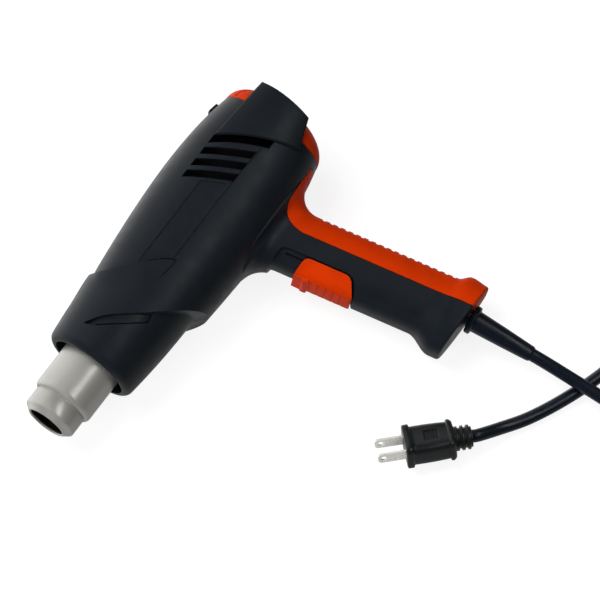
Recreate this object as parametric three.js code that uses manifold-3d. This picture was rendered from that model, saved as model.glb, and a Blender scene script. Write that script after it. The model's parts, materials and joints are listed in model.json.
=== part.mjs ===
import * as THREE from 'three';
import { mergeVertices } from 'three/addons/utils/BufferGeometryUtils.js';
import Module from 'manifold-3d';

const wasm = await Module();
wasm.setup();

// Driving dimensions, in millimetres and degrees. The tool has a frame of its own: the origin is
// the centre of the nozzle mouth, +X runs back along the barrel, +Y away from the grip, +Z to the left.

// Fits and walls
const clearance = 0.3;
const seamGap = 0.3;
const barrelWall = 2.6;
const gripWall = 2.5;
const strapThickness = 2.2;

// Heater tube
const mouthDiameter = 23.2;
const tipDiameter = 34;
const tipLength = 15;
const curlLength = 3.6;
const tubeDiameter = 38.6;
const tubeLength = 97;
const tubeWall = 1;
const tubeFlangeDiameter = 46;
const tubeFlangeThickness = 1.6;
const stepLength = 3.4;

// Nose of the housing
const noseFront = 42.7;
const noseDiameter = 58.4;
const noseOpening = 48.6;
const noseLip = 4;
const noseRim = 5;
const noseSwell = 3.7;
const noseSwellLength = 60;
const noseRise = 0.3;
const noseLength = 69;
const jawStation = 71.5;
const noseGrooveTop = 16.5;
const noseGrooveBottom = -13;
const noseGrooveWidth = 3.6;
const noseGrooveDepth = 1.6;

// Barrel: reach of its section above, below and beside the axis at three stations
const barrelFront = 76;
const barrelBulge = 172;
const barrelRear = 225;
const barrelTop = { front: 30, bulge: 38.3, rear: 33.7 };
const barrelBottom = { front: 36.4, bulge: 41, rear: 35.3 };
const barrelSide = { front: 32.5, bulge: 36.6, rear: 34.2 };
const barrelSquareness = 2.3;

// Badge field on each side of the barrel
const badgeFront = 107;
const badgeRear = 162;
const badgeTop = 12.5;
const badgeBottom = -2;
const badgeDepth = 0.7;

// Air intake
const slotCount = 3;
const slotTopStation = 166;
const slotPitch = 8.9;
const slotTop = 22.3;
const slotBottom = -4.8;
const slotLean = 0.555;
const slotWidth = 5.6;
const panelSlotShare = 0.72;

// Side panels
const panelThickness = 2.1;
const panelFront = 195.3;
const panelRear = 241.2;
const panelTop = 22.3;
const panelRearTop = 19.5;
const panelRearBottom = -16.5;
const panelToe = 219.5;
const panelBottom = -24;

// Rear cap and its latch
const capRear = 241;
const capDepth = 17.2;
const capWall = 2.4;
const capSpigot = 7;
const capGrooveReach = 21;
const capGrooveDepth = 1.4;
const latchFront = 214;
const latchLength = 6.3;
const latchWidth = 9;
const latchRise = 1.8;
const latchDepth = 1.8;

// Grip
const gripLean = 12.85;
const neckHeight = -54;
const neckFront = 157.2;
const gripDepth = 42.5;
const gripThickness = 34;
const gripSquareness = 2.7;
const buttHeight = -162.6;
const toeReach = 7.8;
const heelReach = 4;
const heelDrop = 1.8;
const buttFlare = 2.5;
const strapReach = 16.5;
const strapGrooves = 16;
const strapGroovePitch = 5;
const strapGrooveWidth = 2.4;
const strapGrooveDepth = 1.3;
const strapTail = -36;
const strapEnd = 219.5;

// Slide switch
const saddleTop = -64.6;
const saddleBottom = -101.9;
const saddleHeel = -93.6;
const saddleDepth = 12.4;
const saddleThickness = 2.1;
const saddleProud = 0.4;
const saddleTravel = 12;
const saddleGap = 1.1;
const saddleCatch = 1.8;
const saddleScallops = 5;
const saddleScallopPitch = 4.9;
const saddleScallopDepth = 0.5;
const saddleStem = { length: 8, width: 6 };
const switchSize = { depth: 15, height: 27, width: 16 };
const leverLength = 4;
const terminalSize = { length: 7, width: 4.8, thickness: 0.8 };

// Hot end inside the tube
const sleeveWall = 0.8;
const sleeveFront = 22;
const formerFront = 28;
const formerRear = 92;
const coilRoom = 1.5;
const formerPlate = 1.2;
const spiderPlate = 2;
const coilTurns = 7;
const coilWire = 1.8;
const cutoutDiameter = 5;
const cutoutLength = 11;

// Fan and motor
const ductThroat = 45;
const ductWall = 1.6;
const ductRear = 152;
const ductCone = 30;
const fanFront = 132;
const fanLength = 15;
const fanBlades = 9;
const fanGap = 1;
const hubDiameter = 18;
const bladeThickness = 1.4;
const shaftDiameter = 3;
const runningGap = 0.08;
const motorFront = 158;
const motorLength = 36;
const motorDiameter = 28;
const motorWall = 1.2;
const bellLength = 6;
const bracketWall = 2;
const bracketLength = 12;
const bracketArm = 5;
const boardSize = 22;
const boardThickness = 1.6;
const filterThickness = 3;
const filterRear = 221;
const filterBottom = -11;
const filterNotch = { station: 200, height: 21 };

// Screws
const screwDiameter = 3;
const screwHead = 6;
const screwHeadHeight = 2.2;
const screwReach = 9;
const bossDiameter = 10;

// Cord entry
const entryStation = 205.6;
const entryLean = 5.6;
const bootFlange = { diameter: 18, length: 4 };
const bootDiameter = 13.6;
const bootTip = 9.6;
const bootLength = 44;
const bootNeck = 11;
const bootInnerFlange = { diameter: 16, length: 3 };
const innerCordLength = 17;
const clampSize = { length: 18.8, width: 6, thickness: 3 };
const clampPitch = 14;
const clampScrew = 2.8;
const clampPost = 6;
const wireDiameter = 2.4;

// Rest on the floor
const restStation = 152;

// Cord on the floor
const cordDiameter = 8;
const coilGap = 0.5;
const coilMiddle = 81;
const coilLoops = 5;
const coilCentre = new THREE.Vector2(148.4, -248.8);
const coilEntryAngle = -174;
const coilExitAngle = 72;
const crossing = new THREE.Vector2(91.1, -176.8);
const tailBend = new THREE.Vector2(59.2, -163);
const tailRise = new THREE.Vector2(42.3, -152.8);
const tieWidth = 12;
const tieThickness = 0.8;
const tieAngle = -50;
const tieSlack = 1.2;

// Plug
const plugFlange = { width: 24.4, height: 17.4, length: 4.2 };
const plugWaist = { width: 22.5, height: 15.5 };
const plugTail = { width: 21, height: 15.5 };
const plugBodyLength = 22.2;
const plugCollar = { width: 23.4, height: 17, length: 4 };
const plugSleeve = 15;
const plugSleeveLength = 10.5;
const plugStraight = 3;
const plugPlace = new THREE.Vector2(-2.5, -114.3);
const plugHeading = -44.55;
const plugRoll = 26;
const bladeSpacing = 12.7;
const bladeSize = { length: 17, width: 6.35, thickness: 1.5 };
const bladeRoot = 6;
const bladeHole = 3.2;

// Facets
const barrelSides = 24;
const gripSides = 20;
const roundSides = 24;
const smallSides = 8;

const radians = THREE.MathUtils.degToRad;
const wide = 400;
const beyond = 70;

// Joining and cutting

function solidOf(geometry) {
  const bare = geometry.clone();
  bare.deleteAttribute('normal');
  bare.deleteAttribute('uv');
  const merged = mergeVertices(bare, 1e-4);
  const corners = merged.index.array;
  const triangles = [];
  for (let i = 0; i < corners.length; i += 3) {
    const [a, b, c] = corners.slice(i, i + 3);
    if (a !== b && b !== c && c !== a) triangles.push(a, b, c);
  }
  const vertProperties = new Float32Array(merged.attributes.position.array);
  const wrap = (order) => new wasm.Manifold(
    new wasm.Mesh({ numProp: 3, vertProperties, triVerts: new Uint32Array(order) }));
  const made = wrap(triangles);
  return made.volume() > 0 ? made : wrap(triangles.reverse());
}

function geometryOf(solid) {
  const mesh = solid.getMesh();
  const geometry = new THREE.BufferGeometry();
  const positions = new Float32Array(mesh.numVert * 3);
  for (let i = 0; i < mesh.numVert; i += 1) {
    positions.set(mesh.vertProperties.subarray(i * mesh.numProp, i * mesh.numProp + 3), i * 3);
  }
  geometry.setAttribute('position', new THREE.BufferAttribute(positions, 3));
  geometry.setIndex([...mesh.triVerts]);
  geometry.computeVertexNormals();
  return geometry;
}

const joined = (first, ...others) => others.reduce((sum, next) => sum.add(next), first);

// Forms

function loft(rings) {
  const sides = rings[0].length;
  const positions = rings.flat().flatMap((point) => [point.x, point.y, point.z]);
  const index = [];
  for (let i = 0; i < rings.length - 1; i += 1) {
    for (let j = 0; j < sides; j += 1) {
      const next = (j + 1) % sides;
      const [a, b] = [i * sides + j, i * sides + next];
      index.push(a, a + sides, b, b, a + sides, b + sides);
    }
  }
  const last = (rings.length - 1) * sides;
  for (let j = 1; j < sides - 1; j += 1) {
    index.push(0, j, j + 1, last, last + j + 1, last + j);
  }
  const geometry = new THREE.BufferGeometry();
  geometry.setAttribute('position', new THREE.BufferAttribute(new Float32Array(positions), 3));
  geometry.setIndex(index);
  return geometry;
}

// Superellipse: 2 is an ellipse, higher is squarer.
function squircle(angle, squareness) {
  const bend = (value) => Math.sign(value) * Math.abs(value) ** (2 / squareness);
  return { along: bend(Math.cos(angle)), across: bend(Math.sin(angle)) };
}

function ring(sides, pointAt) {
  return Array.from({ length: sides }, (_, i) => pointAt((2 * Math.PI * i) / sides));
}

function stations(low, high, count) {
  return Array.from({ length: count + 1 }, (_, i) => low + ((high - low) * i) / count);
}

// Profile of [station, radius] pairs turned about the barrel axis.
function turned(profile, sides = roundSides) {
  const points = profile.map(([station, radius]) => new THREE.Vector2(radius, station));
  return new THREE.LatheGeometry(points, sides).rotateZ(-Math.PI / 2);
}

function rod(low, high, diameter, sides = smallSides) {
  const radius = diameter / 2;
  return solidOf(turned([[low, 0], [low, radius], [high, radius], [high, 0]], sides));
}

function pipe(low, high, outer, inner, sides = roundSides) {
  const [r, s] = [outer / 2, inner / 2];
  return solidOf(turned([[low, s], [low, r], [high, r], [high, s], [low, s]], sides));
}

// Cylinder across the tool, from one lateral height to another.
function crossRod(x, y, low, high, diameter, sides = smallSides) {
  const geometry = new THREE.CylinderGeometry(diameter / 2, diameter / 2, high - low, sides);
  return solidOf(geometry.rotateX(Math.PI / 2).translate(x, y, (low + high) / 2));
}

function prism(shape, low = -wide, high = wide) {
  const settings = { depth: high - low, bevelEnabled: false, curveSegments: 6 };
  return solidOf(new THREE.ExtrudeGeometry(shape, settings).translate(0, 0, low));
}

function outline(points) {
  return new THREE.Shape(points.map(([x, y]) => new THREE.Vector2(x, y)));
}

function block(low, high) {
  const size = new THREE.Vector3().subVectors(high, low);
  const middle = new THREE.Vector3().addVectors(high, low).multiplyScalar(0.5);
  return solidOf(new THREE.BoxGeometry(size.x, size.y, size.z).translate(middle.x, middle.y, middle.z));
}

const slab = (low, high) => block(new THREE.Vector3(low, -wide, -wide), new THREE.Vector3(high, wide, wide));

function tube(points, diameter, steps, sides) {
  const curve = new THREE.CatmullRomCurve3(points);
  const section = new THREE.Shape(ring(sides, (angle) => new THREE.Vector2(
    Math.cos(angle) * diameter / 2, Math.sin(angle) * diameter / 2)));
  return new THREE.ExtrudeGeometry(section, { extrudePath: curve, steps });
}

// Barrel: its reach swells from the front to the bulge and draws in again to the rear.

function barrelReach(x, { front, bulge, rear }) {
  if (x < barrelBulge) {
    return bulge - (bulge - front) * ((barrelBulge - x) / (barrelBulge - barrelFront)) ** 1.6;
  }
  return bulge - (bulge - rear) * ((x - barrelBulge) / (barrelRear - barrelBulge)) ** 2.4;
}

function barrelRing(x, inset) {
  const top = barrelReach(x, barrelTop) - inset;
  const bottom = barrelReach(x, barrelBottom) - inset;
  const side = barrelReach(x, barrelSide) - inset;
  return ring(barrelSides, (angle) => {
    const { along, across } = squircle(angle, barrelSquareness);
    return new THREE.Vector3(x, across * (across > 0 ? top : bottom), along * side);
  });
}

const between = (low, inner, high) => [low, ...inner.filter((value) => value > low && value < high), high];

function barrel(inset, low = barrelFront, high = barrelRear) {
  const bends = [(barrelFront + barrelBulge) / 2, ...stations(barrelBulge, barrelRear, 3), barrelRear + 8];
  return solidOf(loft(between(low, bends, high).map((x) => barrelRing(x, inset))));
}

// Nose: a swelling round form with a rounded front lip, that ends inside the barrel.

function noseRing(x, radius) {
  return ring(barrelSides, (angle) => new THREE.Vector3(
    x, noseRise + radius * Math.sin(angle), radius * Math.cos(angle)));
}

function noseRadius(x) {
  const ahead = Math.max(1 - (x - noseFront) / noseSwellLength, 0);
  return noseDiameter / 2 + noseSwell * (1 - ahead ** 2);
}

function nose(inset) {
  const lip = stations(0, Math.PI / 2, 4).map((turn) => ({
    x: noseFront + noseLip * (1 - Math.cos(turn)),
    cut: noseLip * (1 - Math.sin(turn)),
  }));
  const rings = lip.map(({ x, cut }) => noseRing(x, noseRadius(x) - cut - inset));
  const body = stations(noseFront + noseLip, noseFront + noseLength, 5).slice(1);
  return solidOf(loft([...rings, ...body.map((x) => noseRing(x, noseRadius(x) - inset))]));
}

// Behind the jaw line the barrel stands out from the nose.
function jawField(back) {
  const line = (y) => jawStation + back - y;
  return prism(outline([[line(-beyond), -beyond], [wide, -beyond], [wide, beyond], [line(beyond), beyond]]));
}

// Grip: sections across a leaning axis, with fillets under the barrel and a flared butt.

const gripSlope = Math.tan(radians(gripLean));
const gripFrontLine = (y) => neckFront + (neckHeight - y) * gripSlope;
const gripRearLine = (y) => gripFrontLine(y) + gripDepth;
const frontFillet = { start: -53, height: 13, reach: 13.2 };
const rearFillet = { start: -55, height: 18, reach: 22 };
const sideFillet = { start: -46, height: 10, reach: 6 };
const gripTop = -33;

function fillet(y, { start, height, reach }) {
  const rise = THREE.MathUtils.clamp((y - start) / height, 0, 1);
  return reach * (1 - Math.sqrt(1 - rise * rise));
}

const smooth = (y, start, end) => 1 - THREE.MathUtils.smoothstep(y, end, start);

function gripSection(y) {
  const heel = heelReach * smooth(y, buttHeight + 18, buttHeight + 12)
    - heelDrop * smooth(y, buttHeight + 11, buttHeight);
  return {
    front: gripFrontLine(y) - fillet(y, frontFillet) - toeReach * smooth(y, buttHeight + 24, buttHeight + 6),
    rear: gripRearLine(y) + fillet(y, rearFillet) + heel,
    side: gripThickness / 2 + fillet(y, sideFillet) + buttFlare * smooth(y, buttHeight + 24, buttHeight + 8),
  };
}

function gripRing(y, section, inset) {
  const middle = (section.front + section.rear) / 2;
  const half = (section.rear - section.front) / 2 - inset;
  return ring(gripSides, (angle) => {
    const { along, across } = squircle(angle, gripSquareness);
    return new THREE.Vector3(middle + across * half, y, along * (section.side - inset));
  });
}

function grip(inset, top = gripTop, bottom = buttHeight) {
  const bends = [
    ...[5, 8, 11, 14, 17, 20, 26].map((past) => buttHeight + past),
    ...[0, 0.3, 0.6, 0.85, 1].map((part) => rearFillet.start + part * rearFillet.height),
  ];
  const heights = between(bottom + 1, bends, top).reverse();
  const rings = heights.map((y) => gripRing(y, gripSection(y), inset));
  return solidOf(loft([...rings, gripRing(bottom, gripSection(bottom), inset + 1)]));
}

// Outer form of the closed housing
const housingForm = joined(
  barrel(0).intersect(jawField(0)),
  nose(0),
  grip(0));

// Back strap: from the rear cap under the barrel and down the back of the grip.

function strapField(grow) {
  const edge = (y) => gripRearLine(y) - strapReach - grow;
  const shape = new THREE.Shape();
  shape.moveTo(strapEnd + grow, -barrelBottom.rear + 1 + grow);
  shape.lineTo(edge(neckHeight) + 14, strapTail + grow);
  shape.quadraticCurveTo(edge(neckHeight) - 1, strapTail - 1 + grow, edge(neckHeight), neckHeight);
  shape.lineTo(edge(-wide), -wide);
  shape.lineTo(wide, -wide);
  shape.lineTo(strapEnd + grow, -barrelBottom.rear - 8);
  return prism(shape);
}

// A thin layer across the grip, square to its lean, at a height on its front line.
function gripLayer(y, thickness, low, high) {
  const width = high - low;
  const geometry = new THREE.BoxGeometry(width, thickness, wide);
  geometry.translate(low + width / 2, 0, 0).rotateZ(radians(gripLean));
  return solidOf(geometry.translate(gripFrontLine(y), y, 0));
}

function backStrap() {
  const seat = joined(barrel(strapThickness), grip(strapThickness));
  let strap = housingForm.intersect(strapField(0)).subtract(seat);
  const half = strapGrooveWidth / 2;
  const back = gripDepth * Math.cos(radians(gripLean));
  for (let i = 0; i < strapGrooves; i += 1) {
    const y = neckHeight - 14 - i * strapGroovePitch * Math.cos(radians(gripLean));
    strap = strap.subtract(gripBlock(y, back - strapGrooveDepth, back + 9, half, half, gripThickness));
  }
  return strap;
}

// Slide switch: a saddle round the front of the grip, in a track that is open above it.

function saddleField(top, grow) {
  const edge = (y) => gripFrontLine(y) + saddleDepth + grow;
  const corner = 4;
  const shape = new THREE.Shape();
  shape.moveTo(gripFrontLine(top) - 12, top + grow);
  shape.lineTo(edge(top) - corner, top + grow);
  shape.quadraticCurveTo(edge(top), top + grow, edge(top - corner), top - corner);
  shape.lineTo(edge(saddleHeel + corner), saddleHeel + corner);
  const heel = saddleHeel - grow;
  shape.quadraticCurveTo(edge(saddleHeel), heel, edge(saddleHeel) - corner, heel - 3);
  shape.lineTo(gripFrontLine(saddleBottom), saddleBottom - grow);
  shape.lineTo(gripFrontLine(saddleBottom) - 12, saddleBottom - grow);
  return prism(shape);
}

const stemHeight = (saddleTop + saddleBottom) / 2;
const trackTop = saddleTop + saddleTravel * Math.cos(radians(gripLean)) + 2.7;

// Room in front of the saddle: a ramp out to the thumb catch, then flush with the grip.
function saddleFront() {
  const catchEdge = [[0.5, 0], [0.3, 5.6], [-saddleCatch, 7.4], [-saddleCatch, 8.3], [0, 9.6]];
  const edge = [[-20, -2], [0.5, -2], ...catchEdge, [0, 45], [-20, 45]];
  const origin = new THREE.Vector2(gripFrontLine(saddleTop), saddleTop);
  return prism(new THREE.Shape(edge.map(([inward, below]) => (
    new THREE.Vector2(inward, -below).rotateAround(new THREE.Vector2(), radians(gripLean)).add(origin)))));
}

// Block in line with the grip, measured from a point on its front line.
function gripBlock(y, low, high, below, above, width) {
  const size = new THREE.Vector3(high - low, above + below, width);
  const geometry = new THREE.BoxGeometry(size.x, size.y, size.z);
  geometry.translate((low + high) / 2, (above - below) / 2, 0).rotateZ(radians(gripLean));
  return solidOf(geometry.translate(gripFrontLine(y), y, 0));
}

const stemInner = strapThickness + gripWall + 3;

function slideSwitch() {
  const catchSkin = grip(-saddleCatch).intersect(gripBlock(saddleTop, -6, 3, 9.5, 0, gripThickness / 2));
  let saddle = grip(-saddleProud).add(catchSkin).intersect(saddleField(saddleTop, 0))
    .subtract(grip(saddleThickness)).subtract(saddleFront());
  for (let i = 0; i < saddleScallops; i += 1) {
    const below = 12 + i * saddleScallopPitch;
    const scallop = gripBlock(saddleTop, -6, saddleScallopDepth, below + 1.2, 1.2 - below, gripThickness);
    saddle = saddle.subtract(scallop);
  }
  const half = saddleStem.length / 2;
  return saddle.add(gripBlock(stemHeight, saddleThickness - 1, stemInner, half, half, saddleStem.width));
}

// Housing halves

const screwPlaces = [
  [68, 25.4], [68, -24.6], [206, 27], [188, -46], [181.5, -121], [187, -149]];

function bosses() {
  return joined(...screwPlaces.map(([x, y]) => crossRod(x, y, -wide, wide, bossDiameter, 8)));
}

function screwBores() {
  return joined(...screwPlaces.map(([x, y]) => joined(
    crossRod(x, y, -screwReach - clearance, screwReach + clearance, screwDiameter + 2 * clearance),
    crossRod(x, y, -wide, -screwReach, screwHead + 2 * clearance))));
}

function intakeSlots() {
  const slots = Array.from({ length: slotCount }, (_, i) => {
    const top = slotTopStation + i * slotPitch;
    const run = (slotTop - slotBottom) * slotLean;
    const half = slotWidth / 2;
    return prism(outline([
      [top - half, slotTop], [top + half, slotTop],
      [top + half + run, slotBottom], [top - half + run, slotBottom]]));
  });
  const along = (forward) => stations(0, panelSlotShare, 3).map((part) => panelLead(forward).getPoint(part));
  const last = prism(new THREE.Shape([...along(slotWidth), ...along(-2).reverse()]));
  return joined(...slots, last);
}

// Front edge of a side panel, from its top corner to its toe.
function panelLead(forward) {
  return new THREE.QuadraticBezierCurve(
    new THREE.Vector2(panelFront - forward, panelTop),
    new THREE.Vector2((panelFront + panelToe) / 2 + 2 - forward, (panelTop + panelBottom) / 2 + 4),
    new THREE.Vector2(panelToe - forward, panelBottom));
}

function sidePanel(side) {
  const shape = new THREE.Shape(panelLead(0).getPoints(4));
  shape.lineTo(panelRear - 2, panelRearBottom);
  shape.quadraticCurveTo(panelRear + 1, (panelRearTop + panelRearBottom) / 2, panelRear, panelRearTop);
  const plate = barrel(-clearance - panelThickness, barrelBulge, barrelRear + 2 * capDepth)
    .subtract(barrel(-clearance, barrelFront, barrelRear + 2 * capDepth));
  return plate.intersect(side > 0 ? prism(shape, 0, wide) : prism(shape, -wide, 0));
}

function noseGrooves() {
  const line = (y) => jawStation - y;
  const field = prism(outline([
    [line(noseGrooveTop), noseGrooveTop], [line(noseGrooveBottom), noseGrooveBottom],
    [line(noseGrooveBottom) - 2 * noseGrooveWidth, noseGrooveBottom],
    [line(noseGrooveTop) - noseGrooveWidth, noseGrooveTop - noseGrooveWidth]]));
  return field.subtract(nose(noseGrooveDepth));
}

function badgeFields() {
  const field = prism(outline([
    [badgeFront, badgeTop], [badgeRear, badgeTop],
    [badgeRear + (badgeTop - badgeBottom) * slotLean, badgeBottom],
    [badgeFront + (badgeTop - badgeBottom), badgeBottom]]));
  return field.subtract(barrel(badgeDepth, barrelFront, barrelRear));
}

const tubeSeat = tubeLength - tubeFlangeThickness - clearance;

function tubeBulkhead() {
  const hole = rod(0, wide, tubeDiameter + 2 * clearance, roundSides);
  return slab(tubeSeat - 3, tubeSeat).subtract(hole);
}

const switchFront = stemInner + clearance + leverLength;

function switchShelves() {
  const { height, depth } = switchSize;
  const shelf = (below, above) => gripBlock(stemHeight, switchFront + 2, switchFront + depth - 2, below, above, wide)
    .subtract(gripBlock(stemHeight, 0, wide, below + 1, above + 1, terminalSize.width + 2));
  const reach = height / 2 + clearance;
  return joined(shelf(reach + 2.5, -reach), shelf(-reach, reach + 2.5));
}

function latchField(grow, high, low) {
  const half = latchWidth / 2 + grow;
  const piece = block(
    new THREE.Vector3(latchFront - grow, 0, -half),
    new THREE.Vector3(latchFront + latchLength + grow, wide, half));
  return piece.intersect(barrel(-high)).subtract(barrel(low));
}

function onEntryAxis(geometry) {
  return geometry.rotateZ(-Math.PI / 2 + radians(entryLean)).translate(entryStation, buttHeight, 0);
}

// Profile of [distance outwards, radius] pairs turned about the cord's entry.
function entryTurned(profile, sides) {
  return solidOf(onEntryAxis(turned(profile, sides)));
}

const gripCavityInset = strapThickness + clearance + gripWall;
const buttFloor = buttHeight + 5;

function housing() {
  const underStrap = strapField(gripWall).subtract(barrel(gripCavityInset));
  const cavity = joined(
    barrel(barrelWall, barrelFront, barrelRear + 5).intersect(jawField(1.5 * barrelWall)).subtract(underStrap),
    nose(barrelWall).intersect(slab(noseFront + noseRim, wide)),
    grip(gripCavityInset, gripTop + 6, buttFloor));
  const opening = rod(0, noseFront + 2 * noseRim, noseOpening, roundSides);
  const inside = joined(bosses(), tubeBulkhead(), switchShelves()).intersect(housingForm);
  const stemSlot = gripBlock(
    stemHeight, -5, gripCavityInset + 3, saddleStem.length / 2 + 1,
    saddleStem.length / 2 + saddleTravel + 1, saddleStem.width + 2 * clearance);
  const entry = entryTurned([[-wide / 2, 0], [-wide / 2, 6], [wide, 6], [wide, 0]], smallSides);
  const cuts = joined(
    strapField(clearance).subtract(joined(
      barrel(strapThickness + clearance), grip(strapThickness + clearance))),
    saddleField(trackTop, saddleGap).subtract(grip(saddleThickness + clearance)),
    latchField(clearance, 5, latchDepth + clearance),
    stemSlot, noseGrooves(), badgeFields(), screwBores());
  const entryHole = entry.intersect(block(
    new THREE.Vector3(0, buttHeight - 5, -wide), new THREE.Vector3(wide, buttFloor + 0.5, wide)));
  return housingForm.subtract(cavity).subtract(opening).subtract(intakeSlots())
    .add(inside).subtract(cuts).subtract(entryHole);
}

const fullHousing = housing();

function clampPosts() {
  const post = (x) => {
    const root = crossRod(x, clampHeight, -wide, -seamGap / 2, clampPost).intersect(grip(gripCavityInset - 1));
    const head = crossRod(x, clampHeight, -clampPost, cordDiameter / 2, clampPost)
      .intersect(grip(gripCavityInset + clearance));
    return root.add(head).subtract(crossRod(x, clampHeight, -4, wide, clampScrew + 2 * clearance, 8));
  };
  return joined(...clampStations.map(post));
}

const clampHeight = buttFloor + 9;
const innerCordStation = entryStation - (clampHeight - buttHeight) * Math.tan(radians(entryLean));
const clampStations = [innerCordStation - clampPitch / 2, innerCordStation + clampPitch / 2];

function housingHalf(side) {
  const low = new THREE.Vector3(-wide, -wide, side > 0 ? seamGap / 2 : -wide);
  const high = new THREE.Vector3(wide, wide, side > 0 ? wide : -seamGap / 2);
  const half = fullHousing.intersect(block(low, high));
  return side > 0 ? half : half.add(clampPosts());
}

// Rear cap: a dome with a flat end, ribs across its top and bottom, and a spigot in the barrel.

function capForm(inset) {
  const rings = stations(barrelRear + clearance, capRear - inset, 4).map((x) => {
    const depth = (x - barrelRear) / (capDepth - inset);
    const round = (power) => (1 - depth ** power) ** (1 / power);
    const top = barrelTop.rear * round(2.4) - inset;
    const bottom = barrelBottom.rear * round(2) - inset;
    const side = (barrelReach(x, barrelSide) - 2 * clearance) * round(2.6) - inset;
    return ring(barrelSides, (angle) => {
      const { along, across } = squircle(angle, barrelSquareness);
      return new THREE.Vector3(x, across * (across > 0 ? top : bottom), along * side);
    });
  });
  return solidOf(loft(rings));
}

function rearCap() {
  const spigotInset = barrelWall + clearance;
  const spigotWall = 2;
  const bore = barrel(spigotInset + spigotWall, barrelBulge, capRear);
  const spigot = barrel(spigotInset, barrelBulge, barrelRear + 2)
    .intersect(slab(barrelRear - capSpigot, barrelRear + 2)).subtract(bore)
    .subtract(strapField(gripWall + clearance));
  const shell = capForm(0).subtract(capForm(capWall).intersect(slab(barrelRear + 2.5, wide)))
    .subtract(bore.intersect(slab(0, barrelRear + 3)));
  let cap = shell.add(spigot);
  for (const z of stations(-capGrooveReach, capGrooveReach, 3)) {
    const groove = block(
      new THREE.Vector3(barrelRear + 4, 0, z - 1), new THREE.Vector3(capRear - 1, wide, z + 1));
    cap = cap.subtract(groove.subtract(capForm(capGrooveDepth)));
  }
  return cap;
}

// Heater tube: curled mouth, tip, rounded step, tube and rear flange.

function heaterTube() {
  const [tip, body, mouth] = [tipDiameter / 2, tubeDiameter / 2, mouthDiameter / 2];
  const curl = stations(0, 1, 3).map((t) => [
    curlLength * (1 - Math.cos(t * Math.PI / 2)), mouth + 1 + (tip - mouth - 1) * Math.sin(t * Math.PI / 2)]);
  const outer = [
    ...curl, [tipLength, tip], [tipLength + 0.8, body - 0.6], [tipLength + stepLength, body],
    [tubeLength - tubeFlangeThickness, body], [tubeLength - tubeFlangeThickness, tubeFlangeDiameter / 2],
    [tubeLength, tubeFlangeDiameter / 2]];
  const inner = [
    [tubeLength, body - tubeWall], [tipLength + stepLength, body - tubeWall],
    [tipLength, tip - tubeWall], [curlLength, tip - tubeWall], [tubeWall, mouth + tubeWall], [tubeWall, mouth]];
  return turned([...outer, ...inner, [0, mouth], curl[0]], roundSides);
}

const sleeveDiameter = tubeDiameter - 2 * (tubeWall + clearance);
const sleeveBore = sleeveDiameter - 2 * sleeveWall;
const formerArm = sleeveBore / 2 - coilRoom - coilWire - 3 * clearance;

function micaSleeve() {
  return pipe(sleeveFront, tubeLength - 1, sleeveDiameter, sleeveBore);
}

function crossPlates(low, high, reach) {
  const half = formerPlate / 2;
  return joined(
    block(new THREE.Vector3(low, -reach, -half), new THREE.Vector3(high, reach, half)),
    block(new THREE.Vector3(low, -half, -reach), new THREE.Vector3(high, half, reach)));
}

function heaterFormer() {
  const spiderReach = sleeveBore / 2 - clearance;
  return joined(
    crossPlates(formerFront, formerRear, formerArm),
    crossPlates(formerFront, formerFront + spiderPlate, spiderReach),
    crossPlates(formerRear - spiderPlate, formerRear, spiderReach));
}

// Heating wire: a helix round the former's arms.
function heaterCoil() {
  const radius = formerArm + 3 * clearance + coilWire / 2;
  const low = formerFront + spiderPlate + 3;
  const pitch = (formerRear - spiderPlate - 3 - low) / coilTurns;
  const steps = coilTurns * 12;
  const points = stations(0, coilTurns, steps).map((turn) => new THREE.Vector3(
    low + pitch * turn,
    radius * Math.cos(2 * Math.PI * turn + Math.PI / 4),
    radius * Math.sin(2 * Math.PI * turn + Math.PI / 4)));
  const axis = new THREE.Vector3(1, 0, 0);
  return loft(wireRings(points, coilWire, 4, () => axis));
}

// Rings of a round wire square to its run, kept upright to a given direction.
function wireRings(points, diameter, sides, upAt) {
  return points.map((point, i) => {
    const before = points[Math.max(i - 1, 0)];
    const after = points[Math.min(i + 1, points.length - 1)];
    const run = new THREE.Vector3().subVectors(after, before).normalize();
    const across = new THREE.Vector3().crossVectors(run, upAt(i)).normalize();
    const up = new THREE.Vector3().crossVectors(across, run);
    return ring(sides, (angle) => point.clone()
      .addScaledVector(up, Math.cos(angle) * diameter / 2)
      .addScaledVector(across, -Math.sin(angle) * diameter / 2));
  });
}

function thermalCutout() {
  const offset = formerPlate / 2 + clearance + cutoutDiameter / 2;
  const rear = formerRear - spiderPlate - 4;
  return turned([
    [rear - cutoutLength, 0], [rear - cutoutLength, cutoutDiameter / 2 - 0.8],
    [rear - cutoutLength + 2, cutoutDiameter / 2], [rear, cutoutDiameter / 2], [rear, 0]], smallSides)
    .translate(0, offset, offset);
}

// Air path: a funnel from the fan to the heater tube, on a plate that fills the barrel.

const ductFront = tubeLength + clearance;
const ductRoom = Math.min(...[barrelTop, barrelSide].map((reach) => barrelReach(ductFront + ductCone, reach)));
const ductMouth = 2 * (ductRoom - barrelWall - 2 * clearance - ductWall);

function airDuct() {
  const throat = ductThroat / 2;
  const mouth = ductMouth / 2;
  const funnel = solidOf(turned([
    [ductFront, throat], [ductFront, throat + ductWall], [ductFront + ductCone, mouth + ductWall],
    [ductRear, mouth + ductWall], [ductRear, mouth], [ductFront + ductCone, mouth], [ductFront, throat]]));
  const plate = barrel(barrelWall + clearance, barrelBulge - 60, barrelRear)
    .intersect(slab(ductRear - 3, ductRear)).subtract(rod(0, wide, ductMouth, roundSides));
  return funnel.add(plate.intersect(gripRoof()));
}

// Keeps the duct's plate out of the grip, where wires pass.
const gripRoof = () => block(new THREE.Vector3(0, strapTail, -wide), new THREE.Vector3(wide, wide, wide));

const fanDiameter = ductMouth - 2 * fanGap;

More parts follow.
